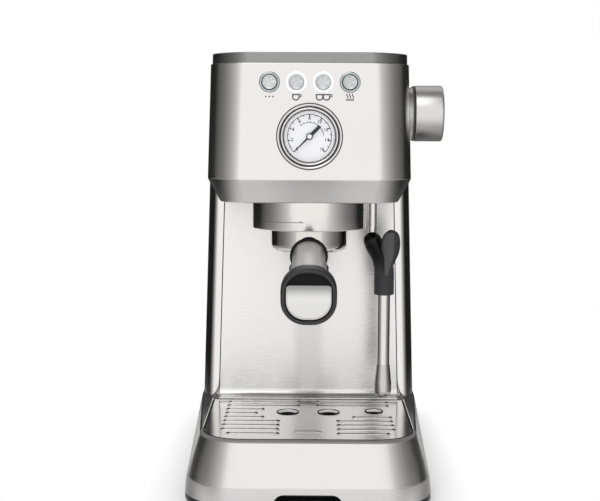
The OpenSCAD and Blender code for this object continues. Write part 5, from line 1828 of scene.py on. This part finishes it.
@dataclass
class SteamKnob:
    """The steam knob with its light flange and dark ring."""

    housing: Housing
    knob_r: float = 21.3
    knob_l: float = 21.5
    stand: float = 3.5
    stem: float = 22.0
    flange_l: float = 1.7

    def skin(self) -> float:
        """Distance of the head's skin from the middle, at the axis."""
        h = self.housing
        share = (h.head_reach - h.head_r - h.knob_y) / (h.head_reach - h.head_r + h.corner_d)
        at = (h.knob_z - h.head_crease) / (h.body_top - h.head_crease)
        half = (h.head_w + (h.head_top_w - h.head_w) * at) / 2
        return half + (h.half_w(h.knob_z) - half) * share

    def place(self, a: float, b: float, s: float) -> Point3:
        """A place from the knob's axis: up, back and outwards."""
        return (s, b - self.housing.knob_y, self.housing.knob_z + a)

    def build(self) -> None:
        """Builds knob, dark ring and flange."""
        r, at = self.knob_r, self.skin() + self.stand
        end = at + self.knob_l
        profile = [(0.0, at), (r - 0.7, at), (r - 0.15, at + 0.25), (r, at + 0.8)]
        profile += arc(r - 1.6, end - 2.0, 1.6, 2.0, 0, 90, 6)
        profile += [(r - 2.4, end), (r - 3.6, end - 0.25), (r - 5.0, end - 0.8), (0.0, end - 0.8)]
        knob = turned("knob_body", profile, self.place, 128)
        dress(knob, "knob", KNOB_STEEL, ["steam_knob"])
        pin = turned("knob_spindle", [(0.0, at + 1.0), (3.0, at + 1.0), (3.0, at - self.stem),
                                      (0.0, at - self.stem)], self.place, 32)
        dress(pin, "knob", KNOB_STEEL, ["steam_knob"])
        skin, bore = self.skin(), 6.5
        low = skin - 1.9
        middle = skin + self.flange_l
        flange = turned("knob_flange", [(bore, middle), (bore, low), (r - 2.2, low),
                                        (r - 1.1, middle - 0.5), (r - 0.8, middle)],
                        self.place, closed=True)
        dress(flange, "machine", FLANGE, ["knob_bezel"])
        ring = turned("knob_ring", [(bore, middle), (r - 0.8, middle), (r - 0.4, middle + 0.2),
                                    (r - 0.2, middle + 0.7), (r - 0.3, at - 0.45),
                                    (r - 0.7, at - 0.3), (bore, at - 0.3)],
                      self.place, closed=True)
        dress(ring, "machine", DARK_RING, ["knob_bezel"])


# ---- group and portafilter


@dataclass
class Group:
    """The steel ring round the group, with its engraved line."""

    group_y: float = 71.0
    group_r: float = 44.0
    ring_t: float = 2.4
    group_low: float = 202.0
    head_low: float = 223.6
    line_z: float = 208.8
    line_w: float = 0.45
    line_lift: float = 0.03

    def place(self, a: float, b: float, z: float) -> Point3:
        """A place round the group's axis."""
        return (a, b - self.group_y, z)

    def build(self) -> None:
        """Builds the ring."""
        r, inner, low, top = self.group_r, self.group_r - self.ring_t, self.group_low, self.head_low
        profile = [(inner, low + 0.2), (inner + 0.3, low), (r - 0.8, low), (r - 0.35, low + 0.1),
                   (r - 0.1, low + 0.35), (r, low + 0.8), (r, top + 0.2), (inner, top + 0.2)]
        ring = turned("group_skirt", profile, self.place, 160, closed=True)
        dress(ring, "machine", GROUP_STEEL, ["group_ring"])

        def on_ring(a: float, z: float) -> Point3:
            """A place on the ring's outer face."""
            turn, out = a / r, r + self.line_lift
            return (out * math.sin(turn), -self.group_y - out * math.cos(turn), z)

        line = [(-42.0 + 0.9 * i, self.line_z) for i in range(42)]
        tick = [(a, self.line_z + up) for a, up in ((-7.6, 0.0), (-6.2, 0.75), (-4.2, -0.35))]
        faces = ribbon(line, self.line_w) + ribbon(tick, self.line_w)
        dress(printed("ring_line", faces, on_ring), "machine", ETCH)


@dataclass
class Portafilter:
    """Neck, black ring, grip and badge of the portafilter."""

    group_y: float = 71.0
    handle_z: float = 189.0
    tilt: float = 11.4
    neck_start: float = 31.0
    seal_t: float = 2.4
    neck_r: float = 12.4
    neck_taper: float = 0.4
    grip_start: float = 100.0
    grip_end: float = 126.0
    grip_w: float = 38.6
    grip_h: float = 40.6
    grip_r: float = 17.0
    recess: float = 2.2
    badge_top: float = 8.6

    def place(self, a: float, b: float, s: float) -> Point3:
        """A place along the handle: right, up and away from the group."""
        c, n = math.cos(math.radians(self.tilt)), math.sin(math.radians(self.tilt))
        return (a, -self.group_y - c * s - n * b, self.handle_z - n * s + c * b)

    def outline(self, inset: float, s: float, ease: float = 1.0) -> Ring3:
        """Section of the grip.

        Args:
            inset: distance inside the largest section.
            s: distance along the handle.
            ease: 1 for the grip's own section, 0 for the round neck.

        Returns:
            The ring of points.
        """
        neck = self.neck_r - self.neck_taper + 0.3
        x = neck + (self.grip_w / 2 - inset - neck) * ease
        y = neck + (self.grip_h / 2 - inset - neck) * ease
        r = neck + (self.grip_r - inset - neck) * ease
        corners = ((x - r, y - r, 0), (r - x, y - r, 90), (r - x, r - y, 180), (x - r, r - y, 270))
        return [self.place(px, py, s) for cx, cy, start in corners
                for px, py in arc(cx, cy, r, r, start, start + 90, 16)]

    def neck(self) -> None:
        """The steel neck and the black ring at its root."""
        low, high = self.neck_start + self.seal_t, self.grip_start
        r, end = self.neck_r, self.neck_r - self.neck_taper
        neck = turned("neck_tube", [(0.0, low), (r - 0.5, low), (r, low + 0.5),
                                    (end, high - 0.4), (end - 0.4, high), (0.0, high)],
                      self.place)
        dress(neck, "portafilter", NECK, ["portafilter_neck"])
        at, out = self.neck_start, r + 2.0
        ring = turned("neck_ring", [(0.0, at), (out - 0.5, at), (out - 0.12, at + 0.3),
                                    (out, at + 0.9), (out - 0.15, at + 1.6),
                                    (out - 0.7, at + 2.2), (out - 1.2, low), (0.0, low)],
                      self.place)
        dress(ring, "portafilter", SEAL_BLACK, ["neck_seal"])

    def grip(self) -> None:
        """The grip with its rolled front edge, and the black face in its recess."""
        a, z = self.grip_start, self.grip_end
        rings = [self.outline(0.0, s, ease) for s, ease in (
            (a + 0.02, 0.0), (a + 0.8, 0.06), (a + 4.0, 0.32), (a + 8.0, 0.62),
            (a + 12.0, 0.86), (a + 15.5, 0.97), (a + 18.0, 1.0), (z - 2.6, 1.0))]
        rings += [self.outline(*arc(1.5, z - 2.4, -1.5, 2.4, 0, angle, 1)[1])
                  for angle in (20, 40, 60, 80, 90)]
        rings += [self.outline(inset, z - down) for inset, down in (
            (2.2, 0.0), (2.8, 0.2), (3.1, 0.7), (3.2, self.recess))]
        grip = loft("grip_body", rings, caps=True)
        dress(tidy(grip, 40.0), "portafilter", GRIP, ["portafilter_grip"])
        stub = turned("grip_stub", [(0.0, a - 10.0), (6.0, a - 10.0), (6.0, a + 1.0),
                                    (0.0, a + 1.0)], self.place, 32)
        dress(stub, "portafilter", GRIP, ["portafilter_grip"])
        face = loft("grip_face", [self.outline(inset, z - down) for inset, down in (
            (3.22, 2.19), (3.22, 2.0), (3.6, 1.9))], caps=True)
        dress(tidy(face, 40.0), "portafilter", FACE_BLACK)

    def badge(self) -> None:
        """The bare metal badge in the recess, crowned a little."""
        x, y = self.grip_w / 2 - 3.7, self.grip_h / 2 - 4.0
        r, top, c = self.grip_r - 3.7, self.badge_top, 2.6
        half = [(px, py) for px, py in arc(x - r, r - y, r, r, -90, 0, 16)]
        half += arc(x - c, top - c, c, c, 0, 90, 8)
        line = mirrored(half)
        mid, half_h = (top - y) / 2, (top + y) / 2

        def ring(scale_in: float, s: float) -> Ring3:
            """The badge's outline, drawn in and set at a distance along the handle."""
            narrow, low = 1 - scale_in / x, 1 - scale_in / half_h
            return [self.place(px * narrow, mid + (py - mid) * low, s) for px, py in line]

        s = self.grip_end - self.recess
        rings = [ring(0.0, s + 0.3), ring(0.0, s + 1.05), ring(0.12, s + 1.3), ring(0.4, s + 1.45)]
        for step in range(1, 8):
            inset = 0.4 + (min(x, half_h) - 1.0) * step / 7
            rise = 0.15 * (1.0 - (1.0 - step / 7) ** 2)
            rings.append(ring(inset, s + 1.45 + rise))
        plate = loft("badge_plate", rings, caps=True)
        dress(tidy(plate, 30.0), "portafilter", BADGE, ["grip_badge"])

    def build(self) -> None:
        """Builds the handle."""
        self.neck()
        self.grip()
        self.badge()


# ---- steam wand


@dataclass
class Wand:
    """Joint, sleeve and tab of the steam wand."""

    x: float = 49.4
    y: float = 70.0
    z: float = 191.5
    tube_x: float = 58.6
    sleeve_r: float = 7.9
    sleeve_low: float = 149.5

    def elbow(self) -> Piece:
        """The sleeve: a swept elbow that closes round the ball and ends in a rolled rim."""
        bend = ((-0.6, -1.0, 6.2), (0.6, 1.4, 7.15), (2.0, 3.8, 7.45), (3.6, 6.4, 7.5),
                (5.4, 9.6, 7.55), (7.1, 13.4, 7.65), (8.4, 17.6, 7.75), (9.05, 22.0, 7.8))
        path = [(self.x + right, self.z - down, r) for right, down, r in bend]
        path += [(self.tube_x, self.z - 27.0, 7.85),
                 (self.tube_x, self.sleeve_low + 1.2, self.sleeve_r)]
        turns = [2 * math.pi * k / 56 for k in range(56)]
        rings: list[Ring3] = []
        for i, (px, pz, r) in enumerate(path):
            before, after = path[max(i - 1, 0)], path[min(i + 1, len(path) - 1)]
            along = Vector((after[0] - before[0], 0.0, after[1] - before[1])).normalized()
            side = Vector((0.0, 1.0, 0.0)).cross(along)
            rings.append([(px + side.x * r * math.cos(t), -self.y + r * math.sin(t),
                           pz + side.z * r * math.cos(t)) for t in turns])
        low = self.sleeve_low
        for r, z in ((self.sleeve_r - 0.1, low + 0.6), (self.sleeve_r - 0.45, low + 0.15),
                     (self.sleeve_r - 0.9, low), (5.1, low), (5.0, low + 0.4), (5.0, low + 8.0)):
            rings.append([(self.tube_x - r * math.cos(t), -self.y + r * math.sin(t), z)
                          for t in turns])
        return loft("wand_elbow", rings, caps=True)

    def tab(self) -> Piece:
        """The thumb tab: a leaf with a flat face on the left and a flank on the right."""
        at = -self.y - self.sleeve_r - 0.2
        spine = [(201.2, 62.2, 63.8), (200.5, 60.9, 65.9), (199.0, 59.0, 68.1),
                 (196.8, 57.2, 69.4), (193.9, 55.9, 70.1), (190.5, 55.2, 70.4),
                 (186.6, 55.2, 70.2), (182.7, 56.2, 69.4), (178.9, 57.1, 67.9),
                 (175.0, 57.5, 66.1), (171.1, 57.7, 64.4), (167.3, 57.9, 62.8),
                 (165.0, 58.6, 61.3)]
        rings = []
        for z, left, right in spine:
            w = right - left
            deep = min(1.0, w / 9.0)
            ridge = left + 0.66 * w
            line = [(left, 0.5), (left + 0.02 * w, 1.4 * deep + 0.3),
                    (left + 0.10 * w, 2.3 * deep + 0.4), (left + 0.3 * w, 3.1 * deep + 0.4),
                    (ridge - 0.06 * w, 3.55 * deep + 0.4), (ridge, 3.5 * deep + 0.4),
                    (ridge + 0.12 * w, 3.0 * deep + 0.4), (right - 0.10 * w, 2.0 * deep + 0.4),
                    (right - 0.02 * w, 1.2 * deep + 0.3), (right, 0.5)]
            lean = 0.28 * max(0.0, z - 191.0)
            rings.append([(x, at - b - lean, z) for x, b in line])
        return loft("wand_leaf", rings, caps=True)

    def build(self) -> None:
        """Builds sleeve and tab."""
        dress(tidy(self.elbow(), 40.0), "wand", SLEEVE, ["wand_sleeve"])
        leaf = tidy(self.tab(), 28.0)
        # painted light and shade: faces turned to the front take the lighter tab colour, the rest
        # the darker flank colour
        paint(leaf, TAB_FLANK_SHADE, (TAB, lambda at, way: way.y < -0.8 and way.x < 0.12))
        dress(leaf, "wand", TAB, ["wand_tab"])


# ---- drip plate


@dataclass
class DripPlate:
    """Beads round the slots of the drip plate, and collars in its drain holes."""

    housing: Housing
    top: float = 51.1
    slot_w: float = 3.4
    pitch: float = 12.9
    spout_pitch: float = 32.8
    spout_r: float = 8.0
    wand_x: float = 53.0
    wand_r: float = 6.5
    collar: float = 1.7
    bead: float = 0.35
    rib_gap: float = 2.9
    first_gap: float = 8.9
    end_gap: float = 13.2
    inner_ends: tuple[float, ...] = (6.5, 6.5, 35.4, 40.4, 34.8, 22.0, 22.0, 22.0, 21.6)
    mid_slot: float = 8.3
    dot_r: float = 1.4

    def at_row(self, row: float) -> float:
        """Distance of a row in front of the column."""
        return self.housing.bay_back + self.first_gap + row * self.pitch

    def rows(self) -> list[Point3]:
        """The slots: left end, right end and distance in front of the column."""
        outer = self.housing.bay_w / 2 - self.end_gap
        found = []
        for row, inner in enumerate(self.inner_ends):
            far = outer - (5.0 if row == 8 else 0.0) - self.slot_w / 2
            near = inner + self.slot_w / 2
            for side in ((-1,) if row in (2, 3) else (-1, 1)):
                x0, x1 = (-far, -near) if side < 0 else (near, far)
                found.append((x0, x1, self.at_row(row)))
        return found + [(-self.mid_slot, self.mid_slot, self.at_row(7.5))]

    def _line(self, x0: float, x1: float, d: float, down: float) -> Ring3:
        """Nine points along a slot, below the plate's top."""
        return [(x0 + (x1 - x0) * i / 8, -d, self.top - down) for i in range(9)]

    @staticmethod
    def _beads(name: str, lines: Sequence[Ring3], radius: float, finish: Finish, sides: int,
               closed: bool = True) -> None:
        """Beads on the plate: bright steel ones, or dark ones for painted shadow and seals."""
        dress(beads(name, lines, radius, finish, sides, closed), "grid", finish)

    def slots(self) -> None:
        """The slots' edge beads, the ribs in them, and dark painted shadow on their floors and
        round ends.
        """
        half = self.slot_w / 2
        r, ends = half + 0.15, self.rib_gap - half
        rows = self.rows()
        edges = [at_height(arc(x1, -d, r, r, -90, 90, 10) + arc(x0, -d, r, r, 90, 270, 10),
                           self.top + 0.02) for x0, x1, d in rows]
        self._beads("slot_beads", edges, self.bead, PLATE_BEAD_HIGHLIGHT, 10)
        ribs = [self._line(x0 + ends, x1 - ends, d, 0.8) for x0, x1, d in rows]
        self._beads("slot_ribs", ribs, half - 0.2, PLATE_BEAD_HIGHLIGHT, 16, False)
        # painted shadow: dark beads under the ribs and dark discs at the slot ends
        floor_shadows = [self._line(x0 - 0.5, x1 + 0.5, d, 1.4) for x0, x1, d in rows]
        self._beads("slot_floors", floor_shadows, half + 0.05, SHADOW_AND_SEAL_BLACK, 16, False)
        points = [(x + side * (r - 0.05 - self.dot_r), -d, self.top) for x0, x1, d in rows[:-1]
                  for x, side in ((x0, -1), (x1, 1))]
        dot = lathe("dot", [(0.0, 0.95), (0.6, 0.90), (1.1, 0.65), (self.dot_r, 0.15),
                            (self.dot_r, -0.8), (0.0, -0.8)], lambda a, b, s: (a, b, s), 20)
        dress(copies("slot_ends", dot, points, SHADOW_AND_SEAL_BLACK), "grid", SHADOW_AND_SEAL_BLACK)

    def drains(self) -> None:
        """The collars in the drain holes, with a dark seal round each."""
        holes = [(x, self.at_row(row), r) for x, row, r in (
            (-self.spout_pitch / 2, 2.7, self.spout_r), (self.spout_pitch / 2, 2.7, self.spout_r),
            (self.wand_x, 2.4, self.wand_r))]
        section = ((0.1, 0.02), (0.05, 0.3), (-0.1, 0.42), (-0.3, 0.4), (-0.42, 0.2),
                   (-0.5, -0.4), (-0.55, -self.collar), (-0.05, -self.collar), (-0.02, -1.3))
        collars = [lathe("hole_collar", [(r + out, up) for out, up in section],
                         lambda a, b, s, x=x, d=d: (x + a, b - d, self.top + s), 64, closed=True)
                   for x, d, r in holes]
        collar = tidy(joined(collars), 40.0)
        # painted light: the holes' inner walls take the glowing collar finish
        paint(collar, PLATE_BEAD_HIGHLIGHT, (COLLAR_GLOW, lambda at, way: (
            way.z < 0.4 and at.z < self.top and self._inside(at, holes))))
        dress(collar, "grid", PLATE_BEAD_HIGHLIGHT)
        rings = [at_height(arc(x, -d, r + 0.5, r + 0.5, 0, 355, 71), self.top + 0.3)
                 for x, d, r in holes]
        self._beads("hole_seals", rings, 0.48, SHADOW_AND_SEAL_BLACK, 8)

    def build(self) -> None:
        """Dresses the plate."""
        self.slots()
        self.drains()

    @staticmethod
    def _inside(at: Vector, holes: Sequence[Point3]) -> bool:
        """Whether a place lies on the inner wall of one of the holes."""
        return any(math.hypot(at.x - x, at.y + d) < r - 0.3 for x, d, r in holes)


# ---- carried-over nodes


@dataclass
class CadFinishes:
    """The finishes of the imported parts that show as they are."""

    by_finish: tuple[tuple[Finish, str], ...] = (
        (BLACK, "base_chassis drip_tray rear_cover head_floor tank_lid pump solenoid_valve "
                "switch_bezel"),
        (RUBBER, "feet tank_seal group_gasket pump_mounts cord_gland"),
        (SCREW, "base_screws screen_screw"),
        (SKIRT, "base_skirt tray_front"),
        (PLATE, "drip_grid"),
        (SATIN, "body_shell head_shell"),
        (BRUSHED, "splash_panel"),
        (ZINC, "support_frame"),
        (BAND, "top_frame"),
        (CUP_PLATE, "cup_tray"),
        (SMOKED, "water_tank"),
        (WHITE_PLASTIC, "tank_valve flow_meter"),
        (POLISHED, "group_ring shower_screen filter_basket steam_pipe wand_tube"),
        (GLOSS, "group_collar neck_seal knob_bezel power_switch"),
        (ALLOY, "group_head thermoblock"),
        (CHROME, "portafilter_body portafilter_spout grip_badge gauge_case button_rings "
                 "program_button single_cup_button double_cup_button steam_button"),
        (NECK, "portafilter_neck"),
        (GRIP, "portafilter_grip"),
        (JOINT_BLACK, "wand_ball"),
        (SLEEVE, "wand_sleeve wand_tab"),
        (TIP_STEEL, "wand_tip"),
        (DIAL_GLOW, "gauge_dial"),
        (LENS, "gauge_glass"),
        (NEEDLE, "gauge_needle"),
        (BOARD, "control_board"),
        (KNOB_STEEL, "steam_knob"),
        (BRASS, "steam_valve"),
        (HOSE, "water_hoses"))

    def build(self) -> None:
        """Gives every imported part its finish."""
        finishes = {node: finish for finish, nodes in self.by_finish for node in nodes.split()}
        for node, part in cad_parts.items():
            material = finishes[node].build()
            part.data.materials.clear()
            part.data.materials.append(material)
            LOG.info("part %s dressed as %s", node, material.name)


def main() -> None:
    """Builds the studio and the dressed machine."""
    logging.basicConfig(level=logging.INFO, format="%(message)s")
    Studio().build()
    CadFinishes().build()
    housing = Housing()
    housing.build()
    Gauge(housing).build()
    Buttons(housing).build()
    SteamKnob(housing).build()
    Group().build()
    Portafilter().build()
    Wand().build()
    DripPlate(housing).build()


if __name__ == "__main__":
    main()
